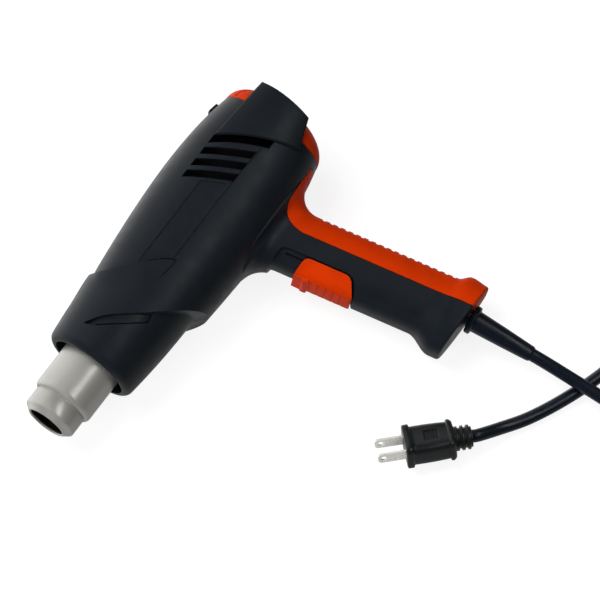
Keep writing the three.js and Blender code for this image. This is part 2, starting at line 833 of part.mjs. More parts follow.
function fanBlade(turn) {
  const rings = stations(hubDiameter / 2 - 1, fanDiameter / 2, 3).map((radius, i) => {
    const pitch = radians(40 + 9 * i);
    const chord = fanLength - 1 - i;
    const along = new THREE.Vector2(Math.cos(pitch), Math.sin(pitch)).multiplyScalar(chord / 2);
    const across = new THREE.Vector2(-Math.sin(pitch), Math.cos(pitch)).multiplyScalar(bladeThickness / 2);
    const middle = fanFront + fanLength / 2;
    return [[-1, -1], [1, -1], [1, 1], [-1, 1]].map(([a, b]) => new THREE.Vector3(
      middle + a * along.x + b * across.x, radius, a * along.y + b * across.y));
  });
  return solidOf(loft(rings).rotateX(turn));
}

function fanImpeller() {
  const bore = shaftDiameter / 2 + clearance;
  const hub = solidOf(turned([
    [fanFront, bore], [fanFront, hubDiameter / 2 - 3], [fanFront + 3, hubDiameter / 2],
    [fanFront + fanLength, hubDiameter / 2], [fanFront + fanLength, bore], [fanFront, bore]], 18));
  const blades = stations(0, 2 * Math.PI, fanBlades).slice(1).map(fanBlade);
  return joined(hub, ...blades);
}

const motorRear = motorFront + motorLength;
const shaftHole = shaftDiameter + 2 * runningGap;

function motorShaft() {
  return rod(fanFront + 1, motorRear + bellLength - 1, shaftDiameter);
}

function motorArmature() {
  return pipe(motorFront + 6, motorRear - 8, motorDiameter - 2 * motorWall - 4, shaftDiameter + 2 * clearance, 18);
}

function motorCan() {
  const [outer, bore] = [motorDiameter / 2, shaftHole / 2];
  const inner = outer - motorWall;
  return turned([
    [motorFront - 2, bore], [motorFront - 2, 5], [motorFront, 5], [motorFront, outer - 1],
    [motorFront + 1, outer], [motorRear, outer], [motorRear, inner], [motorFront + motorWall, inner],
    [motorFront + motorWall, bore], [motorFront - 2, bore]], 18);
}

function motorEndBell() {
  const [outer, bore] = [motorDiameter / 2, shaftHole / 2];
  const start = motorRear + clearance;
  return turned([
    [start, bore], [start, outer - 0.5], [start + bellLength - 2, outer - 0.5], [start + bellLength - 2, 5],
    [start + bellLength, 5], [start + bellLength, bore], [start, bore]], 18);
}

function motorBracket() {
  const inner = motorDiameter + 2 * clearance;
  const sleeve = pipe(motorFront + 4, motorFront + 4 + bracketLength, inner + 2 * bracketWall, inner, 24);
  const reach = motorFront + 4 + bracketArm;
  const arms = [-130, 0, 130].map((turn) => {
    const arm = new THREE.BoxGeometry(bracketArm, wide, 4).translate(reach - bracketArm / 2, wide / 2, 0);
    return solidOf(arm.rotateX(radians(turn)));
  });
  const spokes = joined(...arms).subtract(rod(0, wide, inner + 1, 24))
    .intersect(barrel(barrelWall + clearance));
  return sleeve.add(spokes.intersect(gripRoof()));
}

function rectifierBoard() {
  const start = motorRear + clearance + bellLength - 2 + clearance;
  const half = boardSize / 2;
  const board = block(new THREE.Vector3(start, -half, -half), new THREE.Vector3(start + boardThickness, half, half));
  const diodes = [-1, 1].flatMap((y) => [-1, 1].map((z) => block(
    new THREE.Vector3(start + boardThickness - 0.5, y * 7 - 1.5, z * 6 - 2.5),
    new THREE.Vector3(start + boardThickness + 2.4, y * 7 + 1.5, z * 6 + 2.5))));
  return joined(board, ...diodes).subtract(rod(0, wide, 11, smallSides));
}

// Foam filters between the motor and the intake slots of each side.
function intakeFilter(side) {
  const low = motorDiameter / 2 + clearance + bracketWall + 2;
  const { station, height } = filterNotch;
  const field = outline([
    [ductRear + clearance, filterBottom], [filterRear, filterBottom], [filterRear, filterBottom + 9],
    [station, height], [station, beyond], [ductRear + clearance, beyond]]);
  const ends = [side * low, side * (low + filterThickness)].sort((a, b) => a - b);
  return prism(field, ...ends).intersect(barrel(barrelWall + clearance));
}

// Switch behind the saddle

function switchBody() {
  const { depth, height, width } = switchSize;
  return gripBlock(stemHeight, switchFront, switchFront + depth, height / 2, height / 2, width)
    .subtract(gripBlock(
      stemHeight, switchFront - 1, switchFront + 3 + clearance, 4 + clearance,
      4 + saddleTravel / 2 + clearance, 5 + 2 * clearance));
}

function switchLever() {
  return joined(
    gripBlock(stemHeight, stemInner + clearance, switchFront - clearance, 4, 4, 8),
    gripBlock(stemHeight, switchFront - clearance - 1, switchFront + 3, 4, -2, 5));
}

function switchTerminal(place) {
  const { length, width, thickness } = terminalSize;
  const { depth, height } = switchSize;
  const low = switchFront + depth / 2 + place * 5;
  return gripBlock(
    stemHeight - (height / 2 + clearance) * Math.cos(radians(gripLean)), low - thickness / 2,
    low + thickness / 2, length, 0, width);
}

// Cord entry

function strainRelief() {
  const neck = bootNeck / 2;
  const inner = -(buttFloor - buttHeight) - clearance - 0.8;
  const { diameter, length } = bootFlange;
  const start = clearance + bootFlange.diameter / 2 * Math.tan(radians(entryLean));
  const end = bootLength;
  return entryTurned([
    [inner - bootInnerFlange.length, 0], [inner - bootInnerFlange.length, bootInnerFlange.diameter / 2],
    [inner, bootInnerFlange.diameter / 2], [inner, neck], [start, neck], [start, diameter / 2 - 1],
    [start + 1, diameter / 2], [start + length - 1, diameter / 2], [start + length, diameter / 2 - 1.4],
    [start + length, bootDiameter / 2], [end - 1, bootTip / 2], [end, bootTip / 2 - 0.6], [end, 0]], 16);
}

const innerCordEnd = -(buttFloor - buttHeight) - clearance - 0.8 - bootInnerFlange.length - clearance;

function innerCord() {
  const radius = cordDiameter / 2 - clearance;
  return entryTurned([
    [innerCordEnd - innerCordLength, 0], [innerCordEnd - innerCordLength, radius],
    [innerCordEnd, radius], [innerCordEnd, 0]], 10);
}

function cordClamp() {
  const { length, width, thickness } = clampSize;
  const low = cordDiameter / 2 + clearance;
  let bar = block(
    new THREE.Vector3(innerCordStation - length / 2, clampHeight - width / 2, low),
    new THREE.Vector3(innerCordStation + length / 2, clampHeight + width / 2, low + thickness));
  for (const x of clampStations) {
    bar = bar.subtract(crossRod(x, clampHeight, -wide, wide, clampScrew + 2 * clearance, 8));
  }
  return bar;
}

function screw(x, y, seat, diameter, head, headHeight, length) {
  const towards = Math.sign(length);
  const shank = [seat - towards * headHeight / 2, seat + length].sort((a, b) => a - b);
  const cap = [seat, seat - towards * headHeight].sort((a, b) => a - b);
  return crossRod(x, y, ...shank, diameter).add(crossRod(x, y, ...cap, head));
}

function housingScrew([x, y]) {
  const seat = -screwReach - clearance;
  return screw(x, y, seat, screwDiameter, screwHead, screwHeadHeight, screwReach * 2);
}

function clampScrewAt(x) {
  const seat = cordDiameter / 2 + clearance + clampSize.thickness + clearance;
  return screw(x, clampHeight, seat, clampScrew, 5, 2, -10);
}

function supplyWire(side) {
  const start = onEntryAxis(new THREE.BufferGeometry().setFromPoints([
    new THREE.Vector3(innerCordEnd - innerCordLength - clearance, 0, 0),
    new THREE.Vector3(innerCordEnd - innerCordLength - 6, 0, 0)])).attributes.position;
  const lift = new THREE.Vector3(0, 0, side * (wireDiameter / 2 + clearance / 2));
  const tail = [0, 1].map((i) => new THREE.Vector3().fromBufferAttribute(start, i).add(lift));
  const { depth, height } = switchSize;
  const foot = stemHeight - (height / 2 + terminalSize.length + 2 * clearance) * Math.cos(radians(gripLean));
  const reach = switchFront + depth / 2 + side * 5;
  const end = new THREE.Vector3(
    gripFrontLine(foot) + reach / Math.cos(radians(gripLean)), foot, side * clearance);
  const approach = end.clone().add(new THREE.Vector3(gripSlope * 6, -6, side * 1.5));
  return tube([...tail, approach, end], wireDiameter, 10, 6);
}

// Cord on the floor: a coil of two layers, wound in on the upper one and out on the lower one.

const cordPitch = cordDiameter + coilGap;
const coilTurnsInAll = coilLoops + (coilExitAngle - coilEntryAngle) / 360;
const windTurns = (coilTurnsInAll - 0.5) / 2;
const coilInner = coilMiddle / 2 - (cordPitch * windTurns) / 2;

function coilPoint(turn) {
  const inwards = Math.min(turn, windTurns);
  const change = THREE.MathUtils.clamp((turn - windTurns) / 0.5, 0, 1);
  const outwards = Math.max(turn - windTurns - 0.5, 0);
  const radius = coilInner + cordPitch * (windTurns - inwards + outwards) - 2 * Math.sin(Math.PI * change);
  const angle = radians(coilEntryAngle) + 2 * Math.PI * turn;
  const away = Math.atan2(Math.sin(angle - radians(tieAngle)), Math.cos(angle - radians(tieAngle)));
  const lift = (tieThickness + clearance) * Math.exp(-((away / radians(28)) ** 2));
  const layer = cordPitch * (1 + Math.cos(Math.PI * change)) / 2;
  return new THREE.Vector3(
    coilCentre.x + radius * Math.cos(angle), coilCentre.y + radius * Math.sin(angle),
    cordDiameter / 2 + layer + lift);
}

const floorUp = new THREE.Vector3(0, 0, 1);

function coilPoints() {
  const count = Math.round(coilTurnsInAll * 24);
  const wound = stations(0, coilTurnsInAll, count).map(coilPoint);
  const extend = (end, inner) => new THREE.Vector3().subVectors(end, inner).setLength(cordDiameter).add(end);
  return [extend(wound[0], wound[1]), ...wound, extend(wound.at(-1), wound.at(-2))];
}

function cordCoil(points) {
  let least = Infinity;
  for (let i = 0; i < points.length; i += 1) {
    for (let j = i + 6; j < points.length; j += 1) {
      least = Math.min(least, points[i].distanceTo(points[j]) - cordDiameter);
    }
  }
  console.log(`cord_coil: least gap to itself ${least.toFixed(2)} mm`);
  return loft(wireRings(points, cordDiameter, 6, () => floorUp));
}

function cordTie() {
  const outermost = coilInner + cordPitch * (windTurns - (tieAngle - coilEntryAngle) / 360);
  const high = outermost + cordDiameter / 2 + tieSlack;
  const low = outermost - 2 * cordPitch - cordDiameter / 2 - tieSlack;
  const bottom = tieThickness;
  const top = 2 * cordPitch - coilGap + tieThickness + 2 * clearance;
  const frame = outline([
    [low - tieThickness, 0], [high + tieThickness, 0],
    [high + tieThickness, top + tieThickness], [low - tieThickness, top + tieThickness]]);
  frame.holes.push(new THREE.Path([[low, bottom], [low, top], [high, top], [high, bottom]]
    .map(([x, y]) => new THREE.Vector2(x, y))));
  const band = new THREE.ExtrudeGeometry(frame, { depth: tieWidth, bevelEnabled: false });
  return band.translate(0, 0, -tieWidth / 2).rotateX(Math.PI / 2)
    .rotateZ(radians(tieAngle)).translate(coilCentre.x, coilCentre.y, 0);
}

// A run of cord between two ends, each a point, the direction the cord leaves it in and how far it runs straight.
function cordRun(start, middle, end, steps) {
  const leave = ({ point, away, straight = cordDiameter }, part) => (
    point.clone().addScaledVector(away, THREE.MathUtils.lerp(clearance, straight, part)));
  const points = [leave(start, 0), leave(start, 1), ...middle, leave(end, 1), leave(end, 0)];
  return tube(points, cordDiameter, steps, 8);
}

function coilEnd(points, last) {
  const [point, inner] = last ? [points.at(-1), points.at(-2)] : points;
  return { point, away: new THREE.Vector3().subVectors(point, inner).normalize() };
}

// Plug, built along +X from its front face, with its blades towards -X.

function plugRing(x, width, height, squareness) {
  return ring(16, (angle) => {
    const { along, across } = squircle(angle, squareness);
    return new THREE.Vector3(x, across * height / 2, along * width / 2);
  });
}

function plugBody() {
  const { length, width, height } = plugFlange;
  const tail = length + plugBodyLength;
  const sleeve = tail + plugCollar.length;
  const bulge = (plugWaist.width + plugTail.width) / 2 + 0.8;
  const rings = [
    plugRing(0, width - 1, height - 1, 6),
    plugRing(0.6, width, height, 6),
    plugRing(length, width, height, 6),
    plugRing(length + 0.2, plugWaist.width, plugWaist.height, 5),
    plugRing(length + plugBodyLength * 0.55, bulge, plugWaist.height, 4),
    plugRing(tail, plugTail.width, plugTail.height, 4),
    plugRing(tail + 0.2, plugCollar.width, plugCollar.height, 5),
    plugRing(sleeve, plugCollar.width - 1, plugCollar.height, 5)];
  const ribs = 3;
  const pitch = plugSleeveLength / ribs;
  for (let i = 0; i < ribs; i += 1) {
    const start = sleeve + 0.2 + i * pitch;
    rings.push(
      plugRing(start, plugSleeve, plugSleeve, 2), plugRing(start + pitch * 0.55, plugSleeve, plugSleeve, 2),
      plugRing(start + pitch * 0.6, plugSleeve - 2.4, plugSleeve - 2.4, 2),
      plugRing(start + pitch * 0.9, plugSleeve - 2.4, plugSleeve - 2.4, 2));
  }
  const pockets = [-1, 1].map((side) => bladeBlock(side, -1, bladeRoot + clearance, clearance));
  return solidOf(loft(rings)).subtract(joined(...pockets));
}

function bladeBlock(side, low, high, grow) {
  const z = side * bladeSpacing / 2;
  const [half, thin] = [bladeSize.width / 2 + grow, bladeSize.thickness / 2 + grow];
  return block(new THREE.Vector3(low, -half, z - thin), new THREE.Vector3(high, half, z + thin));
}

function plugBlade(side) {
  const hole = crossRod(3.5 - bladeSize.length, 0, -wide, wide, bladeHole, 10);
  return bladeBlock(side, -bladeSize.length, bladeRoot, 0).subtract(hole);
}

// Finishes

const finishes = {
  blackPlastic: { color: 0x26292d, roughness: 0.5, metalness: 0 },
  orangePlastic: { color: 0xbe3005, roughness: 0.45, metalness: 0 },
  stainless: { color: 0xacaaa2, roughness: 0.35, metalness: 1 },
  mica: { color: 0xb9a888, roughness: 0.8, metalness: 0 },
  heatingWire: { color: 0x6f6a66, roughness: 0.5, metalness: 1 },
  darkSteel: { color: 0x8a8c90, roughness: 0.4, metalness: 1 },
  greyPlastic: { color: 0x55585c, roughness: 0.6, metalness: 0 },
  circuitBoard: { color: 0x2e5a34, roughness: 0.6, metalness: 0 },
  brass: { color: 0xb8924a, roughness: 0.35, metalness: 1 },
  nickel: { color: 0xc9c7bd, roughness: 0.3, metalness: 1 },
  cordRubber: { color: 0x1b1c1e, roughness: 0.45, metalness: 0 },
  foam: { color: 0x141516, roughness: 0.95, metalness: 0 },
};

function piece(name, form, finish) {
  const geometry = form.isBufferGeometry ? form : geometryOf(form);
  const mesh = new THREE.Mesh(geometry, new THREE.MeshStandardMaterial(finishes[finish]));
  mesh.name = name;
  return mesh;
}

// The tool, in its own frame

const tool = new THREE.Group();
tool.add(
  piece('left_housing', housingHalf(1), 'blackPlastic'),
  piece('right_housing', housingHalf(-1), 'blackPlastic'),
  piece('left_side_panel', sidePanel(1), 'blackPlastic'),
  piece('right_side_panel', sidePanel(-1), 'blackPlastic'),
  piece('rear_cap', rearCap(), 'orangePlastic'),
  piece('cap_latch', latchField(0, latchRise, latchDepth), 'blackPlastic'),
  piece('back_strap', backStrap(), 'orangePlastic'),
  piece('slide_switch', slideSwitch(), 'orangePlastic'),
  piece('nozzle_tube', heaterTube(), 'stainless'),
  piece('mica_sleeve', micaSleeve(), 'mica'),
  piece('heater_former', heaterFormer(), 'mica'),
  piece('heater_coil', heaterCoil(), 'heatingWire'),
  piece('thermal_cutout', thermalCutout(), 'darkSteel'),
  piece('air_duct', airDuct(), 'greyPlastic'),
  piece('fan_impeller', fanImpeller(), 'greyPlastic'),
  piece('motor_shaft', motorShaft(), 'darkSteel'),
  piece('motor_armature', motorArmature(), 'darkSteel'),
  piece('motor_can', motorCan(), 'darkSteel'),
  piece('motor_end_bell', motorEndBell(), 'greyPlastic'),
  piece('motor_bracket', motorBracket(), 'greyPlastic'),
  piece('rectifier_board', rectifierBoard(), 'circuitBoard'),
  piece('left_intake_filter', intakeFilter(1), 'foam'),
  piece('right_intake_filter', intakeFilter(-1), 'foam'),
  piece('switch_body', switchBody(), 'greyPlastic'),
  piece('switch_lever', switchLever(), 'greyPlastic'),
  piece('switch_terminal_live', switchTerminal(-1), 'brass'),
  piece('switch_terminal_load', switchTerminal(1), 'brass'),
  piece('inner_cord', innerCord(), 'cordRubber'),
  piece('cord_clamp', cordClamp(), 'greyPlastic'),
  piece('supply_wire_live', supplyWire(-1), 'cordRubber'),
  piece('supply_wire_neutral', supplyWire(1), 'cordRubber'));
screwPlaces.forEach((place, i) => tool.add(piece(`housing_screw_${i + 1}`, housingScrew(place), 'darkSteel')));
clampStations.forEach((x, i) => tool.add(piece(`clamp_screw_${i + 1}`, clampScrewAt(x), 'darkSteel')));

// It lies on its right side: on the front edge of that side's panel, the front of its barrel and its butt.

const panelMiddle = panelLead(0).getPoint(0.55);
const restPanel = new THREE.Vector3(
  panelMiddle.x, panelMiddle.y, -barrelReach(panelMiddle.x, barrelSide) - clearance - panelThickness);
const restFront = new THREE.Vector3(restStation, 0, -barrelReach(restStation, barrelSide));
const restButtHeight = buttHeight + 5;
const restButt = new THREE.Vector3(
  gripFrontLine(restButtHeight) + gripDepth / 2, restButtHeight, -gripSection(restButtHeight).side);
const away = new THREE.Plane().setFromCoplanarPoints(restPanel, restFront, restButt).normal;
if (away.z < 0) away.negate();
tool.quaternion.setFromUnitVectors(away, floorUp);
tool.updateMatrixWorld(true);
const rest = new THREE.Box3().setFromObject(tool, true);
const restMiddle = rest.getCenter(new THREE.Vector3());
tool.position.set(-restMiddle.x, -restMiddle.y, -rest.min.z);
tool.add(piece('strain_relief', strainRelief(), 'cordRubber'));

// The plug rests on the floor on one edge of its flanges, rolled by the stiffness of the cord.

const plugLength = plugFlange.length + plugBodyLength + plugCollar.length + plugSleeveLength;
const plug = new THREE.Group();
plug.add(
  piece('plug_body', plugBody(), 'cordRubber'),
  piece('plug_blade_1', plugBlade(1), 'nickel'),
  piece('plug_blade_2', plugBlade(-1), 'nickel'));
plug.rotation.set(radians(90 - plugRoll), 0, radians(plugHeading), 'ZYX');
plug.position.set(plugPlace.x, plugPlace.y, 0);
plug.updateMatrixWorld(true);
plug.position.z = -new THREE.Box3().setFromObject(plug, true).min.z;

// The cord leaves the boot, passes over its own tail to the coil, and comes back under to the plug.

tool.updateMatrixWorld(true);
plug.updateMatrixWorld(true);
const entryOut = new THREE.Vector3(Math.sin(radians(entryLean)), -Math.cos(radians(entryLean)), 0);
const bootEnd = new THREE.Vector3(entryStation, buttHeight, 0).addScaledVector(entryOut, bootLength);
const leadStart = {
  point: tool.localToWorld(bootEnd),
  away: entryOut.clone().transformDirection(tool.matrixWorld),
};
const tailEnd = {
  point: plug.localToWorld(new THREE.Vector3(plugLength, 0, 0)),
  away: new THREE.Vector3(1, 0, 0).transformDirection(plug.matrixWorld),
  straight: plugStraight,
};
const wound = coilPoints();
const overTail = new THREE.Vector3(crossing.x, crossing.y, cordDiameter / 2 + cordPitch + 3 * clearance);
const underLead = new THREE.Vector3(crossing.x, crossing.y, cordDiameter / 2 + clearance);
const nearPlug = [
  new THREE.Vector3(tailBend.x, tailBend.y, cordDiameter / 2 + 0.5),
  new THREE.Vector3(tailRise.x, tailRise.y, cordDiameter / 2 + 2.6)];

const heatGun = new THREE.Group();
heatGun.name = 'hot_air_tool';
heatGun.add(
  tool,
  plug,
  piece('cord_lead', cordRun(leadStart, [overTail], coilEnd(wound, false), 16), 'cordRubber'),
  piece('cord_coil', cordCoil(wound), 'cordRubber'),
  piece('cord_tail', cordRun(coilEnd(wound, true), [underLead, ...nearPlug], tailEnd, 20), 'cordRubber'),
  piece('cord_tie', cordTie(), 'cordRubber'));

export default heatGun;
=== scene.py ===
"""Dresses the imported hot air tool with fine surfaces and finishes, and lights it as in the photograph.

Lengths are millimetres in the tool's own frame unless a name says otherwise. Its origin is the centre of the
nozzle mouth: X runs back along the barrel, Y away from the grip and Z to the left. A Pose carries points of that
frame into the row frame, and finished pieces are in metres.
"""
from __future__ import annotations

import json
import logging
from dataclasses import dataclass, field, replace
from enum import Enum
from functools import cached_property

import bpy
import numpy as np
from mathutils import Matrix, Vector

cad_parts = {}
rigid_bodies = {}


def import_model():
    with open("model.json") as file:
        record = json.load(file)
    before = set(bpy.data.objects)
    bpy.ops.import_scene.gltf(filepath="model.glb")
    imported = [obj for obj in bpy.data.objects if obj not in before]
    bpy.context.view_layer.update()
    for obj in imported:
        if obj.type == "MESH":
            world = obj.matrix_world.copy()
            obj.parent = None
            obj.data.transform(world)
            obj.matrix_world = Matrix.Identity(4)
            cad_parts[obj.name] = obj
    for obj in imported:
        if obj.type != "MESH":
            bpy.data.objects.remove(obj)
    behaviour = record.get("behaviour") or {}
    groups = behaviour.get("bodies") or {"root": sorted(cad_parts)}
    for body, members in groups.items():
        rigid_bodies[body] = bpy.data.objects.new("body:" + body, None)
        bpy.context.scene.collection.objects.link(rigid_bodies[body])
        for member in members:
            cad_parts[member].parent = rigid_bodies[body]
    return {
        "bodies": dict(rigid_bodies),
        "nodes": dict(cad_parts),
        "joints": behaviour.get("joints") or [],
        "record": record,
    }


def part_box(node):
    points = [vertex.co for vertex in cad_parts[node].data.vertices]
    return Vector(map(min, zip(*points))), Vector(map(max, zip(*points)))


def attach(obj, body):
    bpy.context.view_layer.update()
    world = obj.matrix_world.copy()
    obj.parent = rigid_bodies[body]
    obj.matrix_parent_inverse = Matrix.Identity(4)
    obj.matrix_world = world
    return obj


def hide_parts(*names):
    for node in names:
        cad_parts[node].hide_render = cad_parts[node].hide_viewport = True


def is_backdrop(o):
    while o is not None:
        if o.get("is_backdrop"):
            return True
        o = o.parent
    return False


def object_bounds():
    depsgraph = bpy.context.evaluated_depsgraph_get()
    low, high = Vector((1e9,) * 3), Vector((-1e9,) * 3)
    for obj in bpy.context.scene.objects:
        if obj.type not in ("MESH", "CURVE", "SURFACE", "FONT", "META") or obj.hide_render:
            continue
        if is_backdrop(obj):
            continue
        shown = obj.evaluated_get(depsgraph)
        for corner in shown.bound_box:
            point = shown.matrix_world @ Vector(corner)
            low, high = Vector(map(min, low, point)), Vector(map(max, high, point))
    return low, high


Pair = tuple[float, float]
Triple = tuple[float, float, float]
Outline = tuple[Pair, ...]
Socket = bpy.types.NodeSocket

LOG = logging.getLogger("hot_air_tool")
# Attribute of the vertices inside the nozzle's bore, where shade is painted in a dark colour
BORE_SHADE = "bore_shade"
# Play between pieces that are seated in each other
CLEARANCE = 0.3
# Reaches past every side of the tool
WIDE = 400.0
# Run of a cutting form past the end of what it cuts
BEYOND = 5.0
# Millimetres in a metre
METRE = 1000.0
# Station and height of the cord's hole in the butt, and degrees that it leans
CORD_EXIT = (205.6, -162.6)
CORD_LEAN = 5.6
BEVEL_SAMPLES = 6
WHITE = (1.0, 1.0, 1.0, 1.0)


class Body(str, Enum):
    """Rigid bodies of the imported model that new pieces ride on."""

    FIXED = "body"
    SWITCH = "switch"


class Operation(str, Enum):
    """Ways in which two solids are combined."""

    JOIN = "UNION"
    CUT = "DIFFERENCE"
    COMMON = "INTERSECT"


class Side(Enum):
    """Halves of the tool, by the sign of their lateral axis."""

    LEFT = 1
    RIGHT = -1

    def span(self, start: float) -> list[float]:
        """Lateral range of the half, from a distance off the middle outwards."""
        return sorted((self.value * start, self.value * WIDE))


# Curves and frames


def smoothstep(values: np.ndarray, low: float, high: float) -> np.ndarray:
    """Cubic ramp from 0 at low to 1 at high.

    Args:
        values: Where the ramp is read.
        low: Start of the ramp.
        high: End of the ramp, above or below low.

    Returns:
        The ramp's height at each value.
    """
    part = np.clip((values - low) / (high - low), 0.0, 1.0)
    return part * part * (3.0 - 2.0 * part)


def round_angles(count: int) -> np.ndarray:
    """Angles in radians of points spaced evenly round a circle."""
    return np.arange(count) * 2.0 * np.pi / count


def squircle(count: int, squareness: float) -> tuple[np.ndarray, np.ndarray]:
    """Unit superellipse: |cos|^(2/n) and |sin|^(2/n), with their signs.

    Args:
        count: Number of points round the curve.
        squareness: Exponent n; 2 is a circle.

    Returns:
        The two coordinates, each of length count.
    """
    angle = round_angles(count)
    wave = np.stack([np.cos(angle), np.sin(angle)])
    along, across = np.sign(wave) * np.abs(wave) ** (2.0 / squareness)
    return along, across


def quadratic(start: Pair, bend: Pair, end: Pair, count: int) -> np.ndarray:
    """Quadratic Bezier curve: (1-t)^2 start + 2t(1-t) bend + t^2 end.

    Args:
        start: First point.
        bend: Point that the curve is drawn towards.
        end: Last point.
        count: Number of samples.

    Returns:
        The samples, one a row.
    """
    t = np.linspace(0, 1, count)[:, None]
    return (1 - t) ** 2 * np.array(start) + 2 * t * (1 - t) * np.array(bend) + t ** 2 * np.array(end)


def between(t: np.ndarray, low: float, high: float, first: np.ndarray, second: np.ndarray) -> np.ndarray:
    """Straight run that is first where t is low and second where t is high."""
    return (high - t) / (high - low) * first + (t - low) / (high - low) * second


def centripetal(points: np.ndarray, per_span: int) -> np.ndarray:
    """Centripetal Catmull-Rom curve through points, by the Barry-Goldman pyramid.

    Args:
        points: Waypoints, one a row.
        per_span: Samples taken in each span.

    Returns:
        Samples from the first waypoint to the last.
    """
    ends = np.vstack([2 * points[0] - points[1], points, 2 * points[-1] - points[-2]])
    steps = np.sqrt(np.linalg.norm(np.diff(ends, axis=0), axis=1))
    knots = np.concatenate([[0.0], np.cumsum(steps)])
    spans = []
    for i in range(1, len(ends) - 2):
        t = np.linspace(knots[i], knots[i + 1], per_span, endpoint=False)[:, None]
        k = knots[i - 1:i + 3]
        first = [between(t, k[j], k[j + 1], ends[i + j - 1], ends[i + j]) for j in range(3)]
        second = [between(t, k[j], k[j + 2], first[j], first[j + 1]) for j in range(2)]
        spans.append(between(t, k[1], k[2], second[0], second[1]))
    return np.vstack([*spans, points[-1:]])


def shrunk(outline: np.ndarray, inset: float) -> np.ndarray:
    """Moves the corners of an outline inwards, square to the chord between their neighbours.

    Args:
        outline: Corners, counter-clockwise.
        inset: Distance that each corner moves.

    Returns:
        The smaller outline.
    """
    chord = np.roll(outline, -1, 0) - np.roll(outline, 1, 0)
    chord /= np.linalg.norm(chord, axis=1, keepdims=True)
    return outline + inset * np.column_stack([-chord[:, 1], chord[:, 0]])


def spin(degrees: float) -> np.ndarray:
    """Matrix of a turn about the third axis."""
    turn = np.radians(degrees)
    return np.array([[np.cos(turn), -np.sin(turn), 0], [np.sin(turn), np.cos(turn), 0], [0, 0, 1]])


@dataclass(frozen=True)
class Pose:
    """Place of a local frame, in millimetres, in the row frame."""

    origin: np.ndarray
    axes: np.ndarray

    @classmethod
    def from_joints(cls, joints: list[dict], fan_station: float) -> Pose:
        """Reads the tool's pose off the fan's hinge and the switch's slide.

        Args:
            joints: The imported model's joints.
            fan_station: Distance of the hinge's point behind the nozzle mouth.

        Returns:
            The pose of the tool's own frame.
        """
        by_name = {joint["name"]: joint for joint in joints}
        back = np.array(by_name["fan_spin"]["axis"], float)
        back /= np.linalg.norm(back)
        slide = np.array(by_name["switch_slide"]["axis"], float)
        up = slide - back * (slide @ back)
        up /= np.linalg.norm(up)
        axes = np.stack([back, up, np.cross(back, up)], axis=1)
        hinge = np.array(by_name["fan_spin"]["pos_m"], float) * METRE
        return cls(hinge - back * fan_station, axes)

    def direction(self, local: np.ndarray) -> np.ndarray:
        """Turns a direction into the row frame."""
        return np.asarray(local, float) @ self.axes.T

    def point(self, local: np.ndarray) -> np.ndarray:
        """Carries points into the row frame, still in millimetres."""
        return self.direction(local) + self.origin


# Solids


